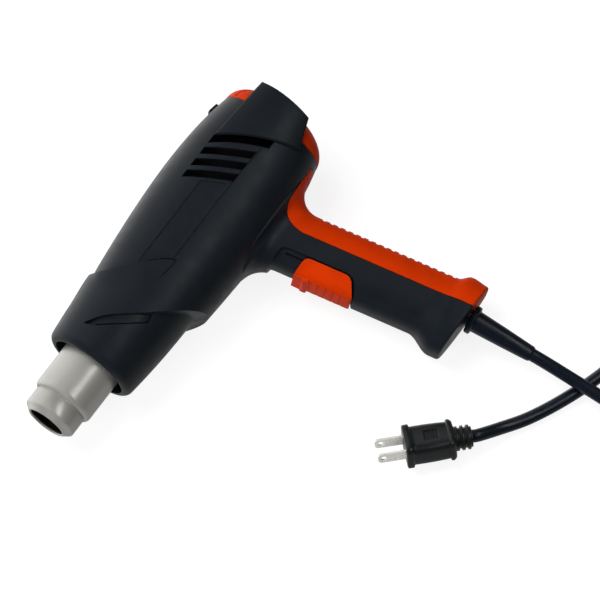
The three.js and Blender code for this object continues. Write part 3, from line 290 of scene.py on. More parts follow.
class Solid:
    """A closed mesh in millimetres that is joined and cut with others before it becomes a piece."""

    def __init__(self, points: np.ndarray, faces: list[list[int]]) -> None:
        """Makes the mesh.

        Args:
            points: Vertices, one a row.
            faces: Vertex numbers of each face, counter-clockwise from outside.
        """
        mesh = bpy.data.meshes.new("solid")
        mesh.from_pydata(np.asarray(points, float), [], faces)
        self.item = bpy.data.objects.new("solid", mesh)
        bpy.context.scene.collection.objects.link(self.item)

    @classmethod
    def loft(cls, grid: np.ndarray) -> Solid:
        """Skins a grid of rings and closes both ends with flat faces.

        Args:
            grid: Array of rings by points by coordinates; travel along the rings, crossed with the
                direction round them, points outwards.

        Returns:
            The closed solid.
        """
        rings, sides = grid.shape[:2]
        number = np.arange(rings * sides).reshape(rings, sides)
        here, there = number[:-1], number[1:]
        quads = np.stack([here, there, np.roll(there, -1, 1), np.roll(here, -1, 1)], axis=-1)
        ends = [number[0].tolist(), number[-1][::-1].tolist()]
        return cls(grid.reshape(-1, 3), quads.reshape(-1, 4).tolist() + ends)

    @classmethod
    def sections(cls, x: np.ndarray, y: np.ndarray, z: np.ndarray) -> Solid:
        """Skins rings, one a row, whose coordinates are broadcast together."""
        return cls.loft(np.stack(np.broadcast_arrays(x, y, z), axis=-1))

    @classmethod
    def hoop(cls, grid: np.ndarray) -> Solid:
        """Skins a grid that closes on itself both ways.

        Args:
            grid: Array of rings by points by coordinates; the direction round the rings, crossed with
                travel along them, points outwards.

        Returns:
            The closed solid.
        """
        rings, sides = grid.shape[:2]
        number = np.arange(rings * sides).reshape(rings, sides)
        there = np.roll(number, -1, 0)
        quads = np.stack([number, np.roll(number, -1, 1), np.roll(there, -1, 1), there], axis=-1)
        return cls(grid.reshape(-1, 3), quads.reshape(-1, 4).tolist())

    @classmethod
    def prism(cls, outline: np.ndarray | Outline, low: float = -WIDE, high: float = WIDE) -> Solid:
        """Extrudes a side view outline across the tool.

        Args:
            outline: Corners in X and Y, either way round.
            low: Lateral start.
            high: Lateral end.

        Returns:
            The prism.
        """
        outline = np.asarray(outline, float)
        x, y = outline.T
        area = np.sum(x * np.roll(y, -1) - np.roll(x, -1) * y)
        x, y = (outline[::-1] if area > 0 else outline).T
        return cls.sections(x, y, np.array([[low], [high]]))

    @classmethod
    def block(cls, low: Triple, high: Triple) -> Solid:
        """Makes a box from its lowest and highest corners."""
        corners = np.array([[low[0], low[1]], [high[0], low[1]], [high[0], high[1]], [low[0], high[1]]])
        return cls.prism(corners, low[2], high[2])

    @classmethod
    def revolve(cls, profile: np.ndarray, sides: int = 96) -> Solid:
        """Turns a closed profile about the X axis.

        Args:
            profile: Stations and radii, all off the axis, counter-clockwise with the radius upwards.
            sides: Facets round the axis.

        Returns:
            The ring-shaped solid.
        """
        profile = np.asarray(profile, float)
        angle = round_angles(sides)
        station = np.broadcast_to(profile[:, :1], (len(profile), sides))
        radius = profile[:, 1:]
        return cls.hoop(np.stack([station, radius * np.sin(angle), radius * np.cos(angle)], axis=-1))

    @classmethod
    def rod(cls, x: float, y: float, low: float, high: float, diameter: float, sides: int = 32) -> Solid:
        """Makes a cylinder across the tool at a point of the side view."""
        angle = round_angles(sides)
        outline = np.column_stack([x + np.cos(angle) * diameter / 2, y + np.sin(angle) * diameter / 2])
        return cls.prism(outline, low, high)

    def _combine(self, others: tuple[Solid, ...], operation: Operation) -> Solid:
        """Applies one operation with each of the other solids, which are used up."""
        for other in others:
            modifier = self.item.modifiers.new("combine", "BOOLEAN")
            modifier.operation = operation.value
            modifier.object = other.item
            modifier.solver = "MANIFOLD"
            graph = bpy.context.evaluated_depsgraph_get()
            mesh = bpy.data.meshes.new_from_object(self.item.evaluated_get(graph))
            self.item.modifiers.clear()
            spent, self.item.data = self.item.data, mesh
            bpy.data.meshes.remove(spent)
            other.discard()
        return self

    def join(self, *others: Solid) -> Solid:
        """Adds other solids."""
        return self._combine(others, Operation.JOIN)

    def cut(self, *others: Solid) -> Solid:
        """Takes other solids away."""
        return self._combine(others, Operation.CUT)

    def common(self, *others: Solid) -> Solid:
        """Keeps what is inside every solid."""
        return self._combine(others, Operation.COMMON)

    def copy(self) -> Solid:
        """Makes a second solid of the same shape."""
        twin = Solid.__new__(Solid)
        twin.item = bpy.data.objects.new("solid", self.item.data.copy())
        bpy.context.scene.collection.objects.link(twin.item)
        return twin

    def points(self) -> np.ndarray:
        """Vertices of the mesh, one a row."""
        vertices = self.item.data.vertices
        flat = np.empty(len(vertices) * 3)
        vertices.foreach_get("co", flat)
        return flat.reshape(-1, 3)

    def move(self, points: np.ndarray) -> None:
        """Puts the vertices in new places."""
        self.item.data.vertices.foreach_set("co", points.ravel())

    def turned(self, degrees: float, x: float, y: float) -> Solid:
        """Turns the solid about the lateral axis and then moves it in the side view."""
        self.move(self.points() @ spin(degrees).T + [x, y, 0.0])
        return self

    def discard(self) -> None:
        """Removes the solid's object and mesh."""
        mesh = self.item.data
        bpy.data.objects.remove(self.item)
        bpy.data.meshes.remove(mesh)

    def piece(self, name: str, pose: Pose, crease: float = 32.0) -> bpy.types.Object:
        """Finishes the solid as a piece of the object.

        Args:
            name: Name of the piece.
            pose: Place of the solid's frame in the row frame.
            crease: Angle in degrees past which an edge stays sharp.

        Returns:
            The piece, at the origin, with its place in its mesh.
        """
        mesh = self.item.data
        self.move(pose.point(self.points()) / METRE)
        mesh.polygons.foreach_set("use_smooth", np.ones(len(mesh.polygons), bool))
        mesh.update()
        mesh.set_sharp_from_angle(angle=np.radians(crease))
        self.item.name = mesh.name = name
        return self.item


# Finishes


class NodeSheet:
    """Short way to lay out the nodes of a material or of the world."""

    def __init__(self, owner: bpy.types.Material | bpy.types.World, coordinates: str = "Object") -> None:
        """Turns on the owner's nodes.

        Args:
            owner: Material or world that the nodes belong to.
            coordinates: Kind of coordinates that its textures are read on.
        """
        owner.use_nodes = True
        self.owner = owner
        self.tree = owner.node_tree
        self.coordinates = coordinates

    def node(self, kind: str, **values: object) -> bpy.types.Node:
        """Adds a node.

        Args:
            kind: Blender's name of the node type.
            values: Input sockets by name, as constants or as sockets to link; names of settings in lower case.

        Returns:
            The node.
        """
        made = self.tree.nodes.new(kind)
        for key, value in values.items():
            if key in made.inputs:
                self.feed(made.inputs[key], value)
            else:
                setattr(made, key, value)
        return made

    def feed(self, socket: Socket, value: object) -> None:
        """Links a socket, or sets its constant."""
        if isinstance(value, Socket):
            self.tree.links.new(value, socket)
        else:
            socket.default_value = value

    def surface(self, **values: object) -> None:
        """Feeds inputs of the surface's shader; their names have underscores for spaces."""
        shader = self.tree.nodes["Principled BSDF"]
        for key, value in values.items():
            self.feed(shader.inputs[key.replace("_", " ")], value)

    @cached_property
    def place(self) -> Socket:
        """Coordinates that the textures are read on."""
        return self.node("ShaderNodeTexCoord").outputs[self.coordinates]

    def noise(self, scale: float, detail: float = 2.0, stretch: Triple | None = None) -> Socket:
        """Noise on the piece's own coordinates.

        Args:
            scale: Features a metre.
            detail: Octaves of finer noise.
            stretch: Scale along each axis before the noise is read.

        Returns:
            The socket with the noise's height.
        """
        place = self.place
        if stretch is not None:
            place = self.node("ShaderNodeMapping", Vector=place, Scale=stretch).outputs["Vector"]
        return self.node("ShaderNodeTexNoise", Vector=place, Scale=scale, Detail=detail).outputs["Fac"]

    def ramp(self, value: Socket, low: float, high: float, to_low: float, to_high: float,
             kind: str = "LINEAR") -> Socket:
        """Carries a value from one range to another, clamped."""
        ends = {"From Min": low, "From Max": high, "To Min": to_low, "To Max": to_high}
        return self.node("ShaderNodeMapRange", Value=value, interpolation_type=kind, **ends).outputs["Result"]

    def blend(self, share: Socket, *colours: Triple | Socket) -> Socket:
        """Mixes two colours by a share.

        Args:
            share: Socket with the share of the second colour.
            colours: The two colours, as sockets or as linear red, green and blue.

        Returns:
            The socket with the mixed colour.
        """
        made = self.node("ShaderNodeMix", data_type="RGBA")
        self.feed(made.inputs[0], share)
        for socket, colour in zip([end for end in made.inputs if end.type == "RGBA"], colours):
            self.feed(socket, colour if isinstance(colour, Socket) else (*colour, 1.0))
        return next(end for end in made.outputs if end.type == "RGBA")

    def relief(self, height: Socket, strength: float, distance: float, edge_radius: float) -> Socket:
        """Lays fine relief over a surface whose edges are softened.

        Args:
            height: Socket with the relief's height.
            strength: Share of the relief that shows.
            distance: Depth of the relief in metres.
            edge_radius: Radius of the softened edges in metres.

        Returns:
            The socket with the surface's normal.
        """
        soft = self.node("ShaderNodeBevel", samples=BEVEL_SAMPLES, Radius=edge_radius).outputs["Normal"]
        bump = self.node("ShaderNodeBump", Height=height, Strength=strength, Distance=distance, Normal=soft)
        return bump.outputs["Normal"]


@dataclass(frozen=True)
class MouldedFinish:
    """Satin moulded plastic or rubber: fine spark-eroded grain, slight mottling and softly rounded edges."""

    name: str
    colour: Triple
    roughness: float = 0.42
    grain: float = 2600.0
    grain_depth: float = 0.12
    grain_height: float = 0.0002
    edge_radius: float = 0.0006
    specular: float = 0.5
    mottle: float = 55.0
    mottle_range: Pair = (0.35, 0.65)
    mottle_shade: float = 0.86
    gloss: float = 140.0
    gloss_range: Pair = (0.3, 0.7)
    gloss_spread: Pair = (0.05, 0.06)

    def build(self) -> bpy.types.Material:
        """Lays out the finish's nodes and returns the material."""
        sheet = NodeSheet(bpy.data.materials.new(self.name))
        shade = tuple(value * self.mottle_shade for value in self.colour)
        mottle = sheet.ramp(sheet.noise(self.mottle, 3.0), *self.mottle_range, 0.0, 1.0)
        less, more = self.gloss_spread
        sheet.surface(
            Base_Color=sheet.blend(mottle, self.colour, shade),
            Roughness=sheet.ramp(
                sheet.noise(self.gloss, 4.0), *self.gloss_range, self.roughness - less, self.roughness + more),
            Specular_IOR_Level=self.specular,
            Normal=sheet.relief(sheet.noise(self.grain), self.grain_depth, self.grain_height, self.edge_radius))
        return sheet.owner


@dataclass(frozen=True)
class MetalFinish:
    """Drawn or plated metal: fine lines along one direction, stains and softened edges."""

    name: str
    colour: Triple
    stain: Triple
    roughness: float = 0.3
    lines: Triple = (40.0, 2400.0, 2400.0)
    line_depth: float = 0.06
    line_height: float = 0.0001
    edge_radius: float = 0.0004
    metallic: float = 1.0
    # Dark colour of the painted shade inside a bore
    bore_shade: Triple = (0.05, 0.047, 0.042)
    cloud: float = 38.0
    cloud_range: Pair = (0.42, 0.72)
    cloud_share: float = 0.8
    gloss_range: Pair = (0.3, 0.7)
    gloss_spread: Pair = (0.02, 0.03)

    def build(self) -> bpy.types.Material:
        """Lays out the finish's nodes and returns the material; where a piece's vertex attribute marks its bore,
        painted shade darkens it.
        """
        sheet = NodeSheet(bpy.data.materials.new(self.name))
        cloud = sheet.ramp(sheet.noise(self.cloud, 4.0), *self.cloud_range, 0.0, self.cloud_share)
        inner_shade = sheet.node("ShaderNodeAttribute", attribute_name=BORE_SHADE).outputs["Fac"]
        drawn = sheet.noise(1.0, 3.0, self.lines)
        less, more = self.gloss_spread
        sheet.surface(
            Base_Color=sheet.blend(inner_shade, sheet.blend(cloud, self.colour, self.stain), self.bore_shade),
            Metallic=self.metallic,
            Roughness=sheet.ramp(drawn, *self.gloss_range, self.roughness - less, self.roughness + more),
            Normal=sheet.relief(drawn, self.line_depth, self.line_height, self.edge_radius))
        return sheet.owner


CHARCOAL = MouldedFinish("charcoal_plastic", (0.0080, 0.0106, 0.0138), roughness=0.38, specular=0.16)
ORANGE = MouldedFinish("orange_plastic", (0.54, 0.031, 0.0006), roughness=0.42, grain_depth=0.08, specular=0.03)
STAINLESS = MetalFinish(
    "drawn_stainless", (0.40, 0.395, 0.37), (0.36, 0.35, 0.31), roughness=0.33, line_depth=0.01, metallic=0.5)
SHEATH = MouldedFinish(
    "cord_sheath", (0.004, 0.0065, 0.012), roughness=0.30, grain=1500.0, grain_depth=0.05, specular=0.35)
PLUG_RUBBER = MouldedFinish("plug_rubber", (0.0065, 0.0078, 0.0085), roughness=0.34)
NICKEL = MetalFinish(
    "nickel_plate", (0.85, 0.84, 0.80), (0.74, 0.72, 0.66), roughness=0.26, lines=(300.0,) * 3, line_depth=0.02,
    metallic=0.35)
MICA = MouldedFinish("mica_board", (0.42, 0.34, 0.22), roughness=0.7, grain=900.0)
HEATING_WIRE = MetalFinish("heating_wire", (0.20, 0.18, 0.17), (0.12, 0.10, 0.09), roughness=0.5)
ZINC = MetalFinish("zinc_plate", (0.46, 0.47, 0.48), (0.36, 0.36, 0.36), roughness=0.36)
GREY = MouldedFinish("grey_plastic", (0.09, 0.10, 0.105), roughness=0.5)
LAMINATE = MouldedFinish("board_laminate", (0.03, 0.10, 0.04), roughness=0.45, grain=700.0)
# Near-black sheets behind the intake slots: their colour paints the shade inside the slots
SLOT_SHADE_FOAM = MouldedFinish(
    "filter_foam", (0.004, 0.004, 0.005), roughness=0.9, grain=900.0, grain_depth=0.6, specular=0.1)
BRASS = MetalFinish("stamped_brass", (0.52, 0.35, 0.12), (0.40, 0.26, 0.09), roughness=0.32)

SLOT_FINISH = {
    "black_plastic": CHARCOAL,
    "orange_plastic": ORANGE,
    "stainless": STAINLESS,
    "mica": MICA,
    "heating_wire": HEATING_WIRE,
    "dark_steel": ZINC,
    "grey_plastic": GREY,
    "circuit_board": LAMINATE,
    "brass": BRASS,
    "nickel": NICKEL,
    "cord_rubber": SHEATH,
    "filter_foam": SLOT_SHADE_FOAM,
}


class Workshop:
    """Holds the loaded frame and the built finishes, and puts pieces into the scene."""

    def __init__(self) -> None:
        """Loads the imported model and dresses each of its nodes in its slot's finish."""
        self.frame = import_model()
        self.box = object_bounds()
        self.finishes: dict[str, bpy.types.Material] = {}
        for entry in self.frame["record"]["subparts"]:
            self.dress(self.frame["nodes"][entry["node"]], SLOT_FINISH[entry["material_slot"]])

    def material(self, finish: MouldedFinish | MetalFinish) -> bpy.types.Material:
        """Builds a finish once and returns its material."""
        if finish.name not in self.finishes:
            self.finishes[finish.name] = finish.build()
        return self.finishes[finish.name]

    def dress(self, item: bpy.types.Object, finish: MouldedFinish | MetalFinish) -> None:
        """Gives an object one finish all over."""
        item.data.materials.clear()
        item.data.materials.append(self.material(finish))

    def add(self, item: bpy.types.Object, body: Body, finish: MouldedFinish | MetalFinish, slot: str,
            *nodes: str) -> bpy.types.Object:
        """Puts a piece on a body in place of CAD nodes.

        Args:
            item: The finished piece.
            body: Body that it moves with.
            finish: Its finish.
            slot: Material slot of the record that it stands for; not used.
            nodes: CAD nodes that it replaces.

        Returns:
            The piece.
        """
        self.dress(item, finish)
        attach(item, body.value)
        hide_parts(*nodes)
        LOG.info("%s stands for %s", item.name, ", ".join(nodes))
        return item


# Housing


@dataclass(frozen=True)
class Barrel:
    """Main tube of the housing: superelliptic sections that swell to a bulge and draw in again."""

    front: float = 76.0
    bulge: float = 172.0
    rear: float = 225.0
    top: Triple = (30.0, 38.3, 33.7)
    bottom: Triple = (36.4, 41.0, 35.3)
    side: Triple = (32.5, 36.6, 34.2)
    powers: Pair = (1.6, 2.4)
    squareness: float = 2.3
    wall: float = 2.6
    crease: float = 116.0
    crease_line: Outline = ((86.6, 45), (87.4, 30), (91.0, 24.5), (96.5, 19.5))
    sash_run: float = 18.0
    sash_proud: float = 0.55
    sash_top: Pair = (54.0, 45.0)
    sash_hook: Outline = ((118.2, -3.6), (118.6, -6.7), (111.8, -5.9), (103.0, -4.8))
    sash_foot: Pair = (99.0, 0.0)
    shoulder: Pair = (10.0, 26.0)
    shoulder_gain: float = 2.2
    draw: float = 1.2
    draw_height: Pair = (-8.0, 4.0)
    draw_run: float = 18.0

    def reach(self, x: np.ndarray, spans: Triple) -> np.ndarray:
        """Reach of the section at stations: a power curve on each side of the bulge.

        Args:
            x: Stations behind the nozzle mouth.
            spans: Reach at the front, the bulge and the rear.

        Returns:
            The reach at each station.
        """
        front, bulge, rear = spans
        ahead = np.clip((self.bulge - x) / (self.bulge - self.front), 0.0, None) ** self.powers[0]
        behind = np.clip((x - self.bulge) / (self.rear - self.bulge), 0.0, None) ** self.powers[1]
        return bulge - (bulge - front) * ahead - (bulge - rear) * behind

    def height(self, x: np.ndarray, across: np.ndarray) -> np.ndarray:
        """Reach upwards or downwards, by the sign of the place across the section."""
        return np.where(across > 0, self.reach(x, self.top), self.reach(x, self.bottom))

    def solid(self, inset: float, past: float = 0.0, low: float | None = None, rings: int = 48,
              sides: int = 160) -> Solid:
        """Makes the barrel, or an inset or swollen copy of it.

        Args:
            inset: Distance that its surface lies inside the barrel's.
            past: Distance that it runs past the barrel's rear.
            low: Station of its start, if not the barrel's front.
            rings: Sections along it.
            sides: Points round each section.

        Returns:
            The solid.
        """
        x = np.linspace(self.front if low is None else low, self.rear + past, rings)[:, None]
        along, across = squircle(sides, self.squareness)
        broad = self.reach(x, self.side) - inset
        return Solid.sections(x, across * (self.height(x, across) - inset), along * broad)

    def skin(self, rise: float = 0.0, rings: int = 48, sides: int = 160) -> Solid:
        """Makes the barrel's outside, drawn in at the top of its front so that it comes smoothly out of the nose.

        Args:
            rise: Height to which the skin rises at the crease.
            rings: Sections along the barrel.
            sides: Points round each section.

        Returns:
            The solid.
        """
        x = np.linspace(self.front, self.rear, rings)[:, None]
        along, across = squircle(sides, self.squareness)
        tall = self.height(x, across)
        y = across * tall
        gain = 1 + self.shoulder_gain * smoothstep(y, *self.shoulder)
        proud = rise * gain * smoothstep(x + y, self.crease - self.sash_run, self.crease)
        drawn = smoothstep(y, *self.draw_height) * smoothstep(x, self.front + self.draw_run, self.front)
        proud = proud - self.draw * drawn
        return Solid.sections(x, across * (tall + proud), along * (self.reach(x, self.side) + proud))

    def sash(self) -> Solid:
        """Skin over the front that rises to a diagonal crease and ends there, with a hook at its lower end."""
        return self.skin(self.sash_proud).common(Solid.prism([
            self.sash_top, *self.crease_line, (self.crease, 0.0), *self.sash_hook, self.sash_foot]))

    def behind_crease(self) -> Solid:
        """Upper part of the side view, from the crease to the back."""
        return Solid.prism([*self.crease_line, (self.crease, 0.0), (WIDE, 0.0), (WIDE, self.crease_line[0][1])])


@dataclass(frozen=True)
class Nose:
    """Swelling front of the housing, with a rounded lip and a diagonal groove on each side."""

    front: float = 42.7
    diameter: float = 58.4
    opening: float = 48.6
    opening_run: Pair = (-22.7, 10.0)
    lip: float = 4.0
    rim: float = 5.0
    swell: float = 3.7
    swell_length: float = 60.0
    rise: float = 0.3
    brow: float = 0.9
    brow_height: Pair = (12.0, 30.0)
    brow_run: Pair = (22.0, 44.0)
    length: float = 69.0
    jaw: float = 71.5
    groove: Outline = (
        (56.6, 15.6), (64.1, 10.4), (70.8, 3.5), (80.5, -8.5), (84.9, -14.3), (79.1, -15.6), (68.0, -3.4),
        (57.4, 9.8))
    groove_depth: float = 2.4
    groove_floor: Outline = (
        (59.5, 9.2), (68.7, -2.8), (78.6, -13.8), (80.3, -13.4), (78.3, -10.2), (68.6, 1.7), (62.4, 8.2))
    floor_depth: float = 1.5
    beyond: float = 70.0

    def radius(self, x: np.ndarray) -> np.ndarray:
        """Radius at stations: a parabola that levels out at the end of the swell."""
        ahead = np.clip(1.0 - (x - self.front) / self.swell_length, 0.0, None)
        return self.diameter / 2 + self.swell * (1.0 - ahead ** 2)

    def solid(self, inset: float, sides: int = 160) -> Solid:
        """Makes the nose: a quarter-round lip, then the swell with a brow on top."""
        turn = np.linspace(0.0, np.pi / 2, 14)
        body_x = np.linspace(self.front + self.lip, self.front + self.length, 24)[1:]
        x = np.concatenate([self.front + self.lip * (1 - np.cos(turn)), body_x])[:, None]
        cut = np.concatenate([self.lip * (1 - np.sin(turn)), np.zeros(len(body_x))])[:, None]
        along, across = squircle(sides, 2.0)
        radius = self.radius(x) - cut - inset
        brow = smoothstep(radius * across, *self.brow_height) * smoothstep(x - self.front, *self.brow_run)
        radius = radius + self.brow * brow
        return Solid.sections(x, self.rise + radius * across, radius * along)

    def bore(self) -> Solid:
        """Opening that the heater tube comes out of, about a thin core."""
        low, high = (self.front + run for run in self.opening_run)
        core, radius = 1.0, self.opening / 2
        return Solid.revolve([(low, core), (high, core), (high, radius), (low, radius)], 128)

    def jaw_field(self, back: float) -> Solid:
        """Side view of all that lies behind the diagonal front edge of the barrel."""
        start, tall = self.jaw + back, self.beyond
        return Solid.prism([(start + tall, -tall), (WIDE, -tall), (WIDE, tall), (start - tall, tall)])

    def grooves(self) -> Solid:
        """Cut of the diagonal grooves, whose floors rise in the middle."""
        floor = Solid.prism(self.groove_floor).common(self.solid(self.floor_depth))
        return Solid.prism(self.groove).cut(self.solid(self.groove_depth), floor)


@dataclass(frozen=True)
class Grip:
    """Leaning grip with fillets under the barrel and a flared butt."""

    lean: float = 12.85
    neck: float = -54.0
    neck_front: float = 157.2
    depth: float = 42.5
    thickness: float = 34.0
    squareness: float = 2.7
    butt: float = -162.6
    butt_edge: float = 1.4
    butt_run: float = 26.0
    toe: float = 7.8
    toe_run: Pair = (24.0, 6.0)
    heel: float = 4.0
    heel_run: Pair = (18.0, 12.0)
    heel_drop: float = 1.8
    drop_run: Pair = (11.0, 0.0)
    flare: float = 2.5
    flare_run: Pair = (24.0, 8.0)
    top: float = -33.0
    front_fillet: Triple = (-53.0, 13.0, 13.2)
    rear_fillet: Triple = (-55.0, 18.0, 22.0)
    side_fillet: Triple = (-46.0, 10.0, 6.0)

    @property
    def fall(self) -> float:
        """Height lost in each unit down the leaning grip."""
        return np.cos(np.radians(self.lean))

    def front_line(self, y: np.ndarray | float) -> np.ndarray | float:
        """Station of the grip's straight front at heights."""
        return self.neck_front + (self.neck - y) * np.tan(np.radians(self.lean))

    def rear_line(self, y: np.ndarray | float) -> np.ndarray | float:
        """Station of the grip's straight back at heights."""
        return self.front_line(y) + self.depth

    def beside(self, y: float, inward: np.ndarray, below: np.ndarray) -> np.ndarray:
        """Places in the side view, measured from a point on the front line, square to the lean.

        Args:
            y: Height of the point on the front line.
            inward: Distances into the grip.
            below: Distances down the grip.

        Returns:
            Station and height of each place.
        """
        lean = np.radians(self.lean)
        x = self.front_line(y) + inward * np.cos(lean) + below * np.sin(lean)
        return np.column_stack([x, y + inward * np.sin(lean) - below * np.cos(lean)])

    @staticmethod
    def fillet(y: np.ndarray, shape: Triple) -> np.ndarray:
        """Quarter ellipse that starts at a height, and reaches out over a rise.

        Args:
            y: Heights.
            shape: Start height, rise and reach.

        Returns:
            The reach at each height.
        """
        start, rise, reach = shape
        part = np.clip((y - start) / rise, 0.0, 1.0)
        return reach * (1.0 - np.sqrt(1.0 - part * part))

    def section(self, y: np.ndarray) -> tuple[np.ndarray, np.ndarray, np.ndarray]:
        """Front station, rear station and half thickness at heights."""
        above = y - self.butt
        front = self.front_line(y) - self.fillet(y, self.front_fillet)
        front = front - self.toe * smoothstep(above, *self.toe_run)
        rear = self.rear_line(y) + self.fillet(y, self.rear_fillet)
        rear = rear + self.heel * smoothstep(above, *self.heel_run)
        rear = rear - self.heel_drop * smoothstep(above, *self.drop_run)
        side = self.thickness / 2 + self.fillet(y, self.side_fillet)
        return front, rear, side + self.flare * smoothstep(above, *self.flare_run)

    def solid(self, inset: float, top: float | None = None, bottom: float | None = None,
              sides: int = 128) -> Solid:
        """Makes the grip, or an inset or swollen copy of it, with a rounded bottom edge.

        Args:
            inset: Distance that its surface lies inside the grip's.
            top: Height of its top, if not the grip's.
            bottom: Height of its bottom, if not the butt.
            sides: Points round each section.

        Returns:
            The solid.
        """
        top = self.top if top is None else top
        bottom = self.butt if bottom is None else bottom
        round_edge, flared = self.butt_edge, self.butt + self.butt_run
        fillets = top + (self.rear_fillet[0] - top) * np.linspace(0, 1, 28)
        straight = np.linspace(self.rear_fillet[0], flared, 14)[1:]
        butt = np.linspace(flared, bottom + round_edge, 26)[1:]
        turn = np.linspace(0.0, np.pi / 2, 6)[1:]
        y = np.concatenate([fillets, straight, butt, bottom + round_edge * (1 - np.sin(turn))])[:, None]
        edge = np.concatenate([np.zeros(len(y) - len(turn)), round_edge * (1 - np.cos(turn))])[:, None] + inset
        front, rear, side = self.section(y)
        along, across = squircle(sides, self.squareness)
        x = (front + rear) / 2 + across * ((rear - front) / 2 - edge)
        return Solid.sections(x, y, along * (side - edge))

    def layer(self, y: float, low: float, high: float, below: float, above: float, width: float) -> Solid:
        """Block in line with the lean, measured from a point on the grip's front line.

        Args:
            y: Height of the point.
            low: Start of the block, measured into the grip.
            high: Its end.
            below: Its length down the grip.
            above: Its length up the grip.
            width: Its width across the grip.

        Returns:
            The block.
        """
        block = Solid.block((low, -below, -width / 2), (high, above, width / 2))
        return block.turned(self.lean, self.front_line(y), y)


@dataclass
class Housing:
    """Clamshell halves of nose, barrel and grip, with the pieces that are let into them."""

    shop: Workshop
    pose: Pose
    barrel: Barrel = field(default_factory=Barrel)
    nose: Nose = field(default_factory=Nose)
    grip: Grip = field(default_factory=Grip)
    grip_wall: float = 2.5
    butt_wall: float = 5.0
    grip_rise: float = 6.0
    seam: float = 0.3
    screws: Outline = ((68, 25.4), (68, -24.6), (206, 27), (188, -46), (181.5, -121), (187, -149))
    screw_bore: float = 6.6
    screw_seat: float = -9.0
    cord_bore: float = 12.0
    strap_thickness: float = 2.2
    strap_reach: float = 16.5
    strap_tail: float = -36.0
    strap_bend: float = 14.0
    strap_end: float = 219.5
    strap_foot: float = 2.4
    strap_grooves: int = 18
    strap_pitch: float = 5.0
    strap_first: float = 14.0
    ridge_depth: float = 1.4
    ridge_gap: float = 2.2
    ridge_run: Pair = (-2.4, 9.0)
    saddle_top: float = -64.6
    saddle_bottom: float = -101.9
    saddle_heel: float = -93.6
    saddle_corner: float = 4.0
    saddle_depth: float = 12.4
    saddle_thickness: float = 2.1
    saddle_proud: float = 0.4
    saddle_travel: float = 12.0
    saddle_gap: float = 1.1
    saddle_slope: float = 3.0
    saddle_ahead: float = 12.0
    saddle_catch: float = 1.8
    catch_block: tuple[float, ...] = (-6.0, 3.0, 10.0, 0.0)
    catch_share: float = 0.7
    saddle_squareness: float = 3.6
    saddle_face: Outline = (
        (0.5, 0.0), (0.3, 5.6), (-1.4, 7.0), (-1.75, 7.5), (-1.75, 8.1), (-1.5, 8.6), (-0.6, 9.2), (0.0, 10.0),
        (0.0, 32.5), (0.35, 35.0), (0.95, 37.0), (1.7, 38.2), (1.7, 45.0), (-20.0, 45.0), (-20.0, -2.0),
        (0.5, -2.0))
    track_play: float = 2.7
    slit_height: float = -60.4
    slit: tuple[float, ...] = (9.7, 10.9, 7.0, 5.0)
    slit_depth: float = 1.5
    scallops: int = 5
    scallop_first: float = 12.0
    scallop_pitch: float = 4.9
    scallop_width: float = 1.9
    scallop_depth: float = 0.8
    stem: tuple[float, ...] = (1.1, 7.7, 4.0, 4.0, 6.0)
    stem_room: tuple[float, ...] = (-5.0, 8.0, 5.0, 5.0, 6.6)
    panel_thickness: float = 2.1
    panel_edge: Outline = ((0.0, 0.8), (0.25, 0.4), (0.55, 0.15), (0.9, 0.0))
    panel_front: Outline = ((195.3, 22.3), (209.4, 3.15), (219.5, -24.0))
    panel_rear: Outline = ((239.2, -16.5), (242.2, 1.5), (241.2, 19.5))
    panel_past: float = 34.0
    panel_room: float = 45.0
    slots: int = 3
    slot_first: float = 166.0
    slot_pitch: float = 8.9
    slot_half: float = 2.8
    slot_span: Pair = (22.3, -4.8)
    slot_lean: float = 0.555
    slot_under: float = 2.0
    last_slot_samples: int = 29
    badge: tuple[Outline, ...] = (
        ((104.6, 11.4), (167.0, 11.4), (174.5, -2.5), (118.0, -2.5)),
        ((118.0, -4.2), (175.0, -4.2), (204.7, -5.4), (204.7, -6.1), (175.0, -5.0), (118.0, -5.0)),
        ((106.2, 8.6), (113.0, 2.8), (117.4, -3.0), (119.2, -7.0), (111.8, -6.5), (103.4, -5.0), (111.8, -5.5),
         (118.0, -6.2), (116.6, -2.8), (112.4, 2.4)))
    badge_depth: float = 0.6
    latch_run: Pair = (214.0, 220.3)
    latch_width: float = 9.0
    latch_proud: float = 1.8
    latch_depth: float = 1.8
    cap_rear: float = 241.0
    cap_depth: float = 17.2
    cap_wall: float = 2.4
    cap_floor: float = 2.5
    cap_powers: Triple = (2.4, 2.0, 2.6)
    cap_grooves: tuple[float, ...] = (-21.0, -7.0, 7.0, 21.0)
    cap_groove_run: Pair = (1.5, 1.0)
    cap_groove_width: float = 2.0
    cap_groove_depth: float = 1.4

    @property
    def stem_height(self) -> float:
        """Height of the switch's stem, in the middle of the saddle."""
        return (self.saddle_top + self.saddle_bottom) / 2

    def outer_form(self) -> Solid:
        """Outside of the closed housing."""
        barrel = self.barrel.skin().common(self.nose.jaw_field(0))
        nose = self.nose.solid(0).cut(self.barrel.behind_crease())
        return barrel.join(self.barrel.sash(), nose, self.grip.solid(0))

    def cavity(self) -> Solid:
        """Room inside the barrel, the nose and the grip."""
        wall = self.barrel.wall
        inset = self.strap_thickness + CLEARANCE + self.grip_wall
        shelf = self.strap_field(self.grip_wall).cut(self.barrel.solid(inset, 2 * BEYOND, rings=16, sides=64))
        room = self.barrel.solid(wall, BEYOND, rings=20, sides=80)
        room.common(self.nose.jaw_field(1.5 * wall)).cut(shelf)
        nose = self.nose.solid(wall, 80).common(
            Solid.block((self.nose.front + self.nose.rim, -WIDE, -WIDE), (WIDE, WIDE, WIDE)))
        top, bottom = self.grip.top + self.grip_rise, self.grip.butt + self.butt_wall
        return room.join(nose, self.grip.solid(inset, top, bottom, 48))

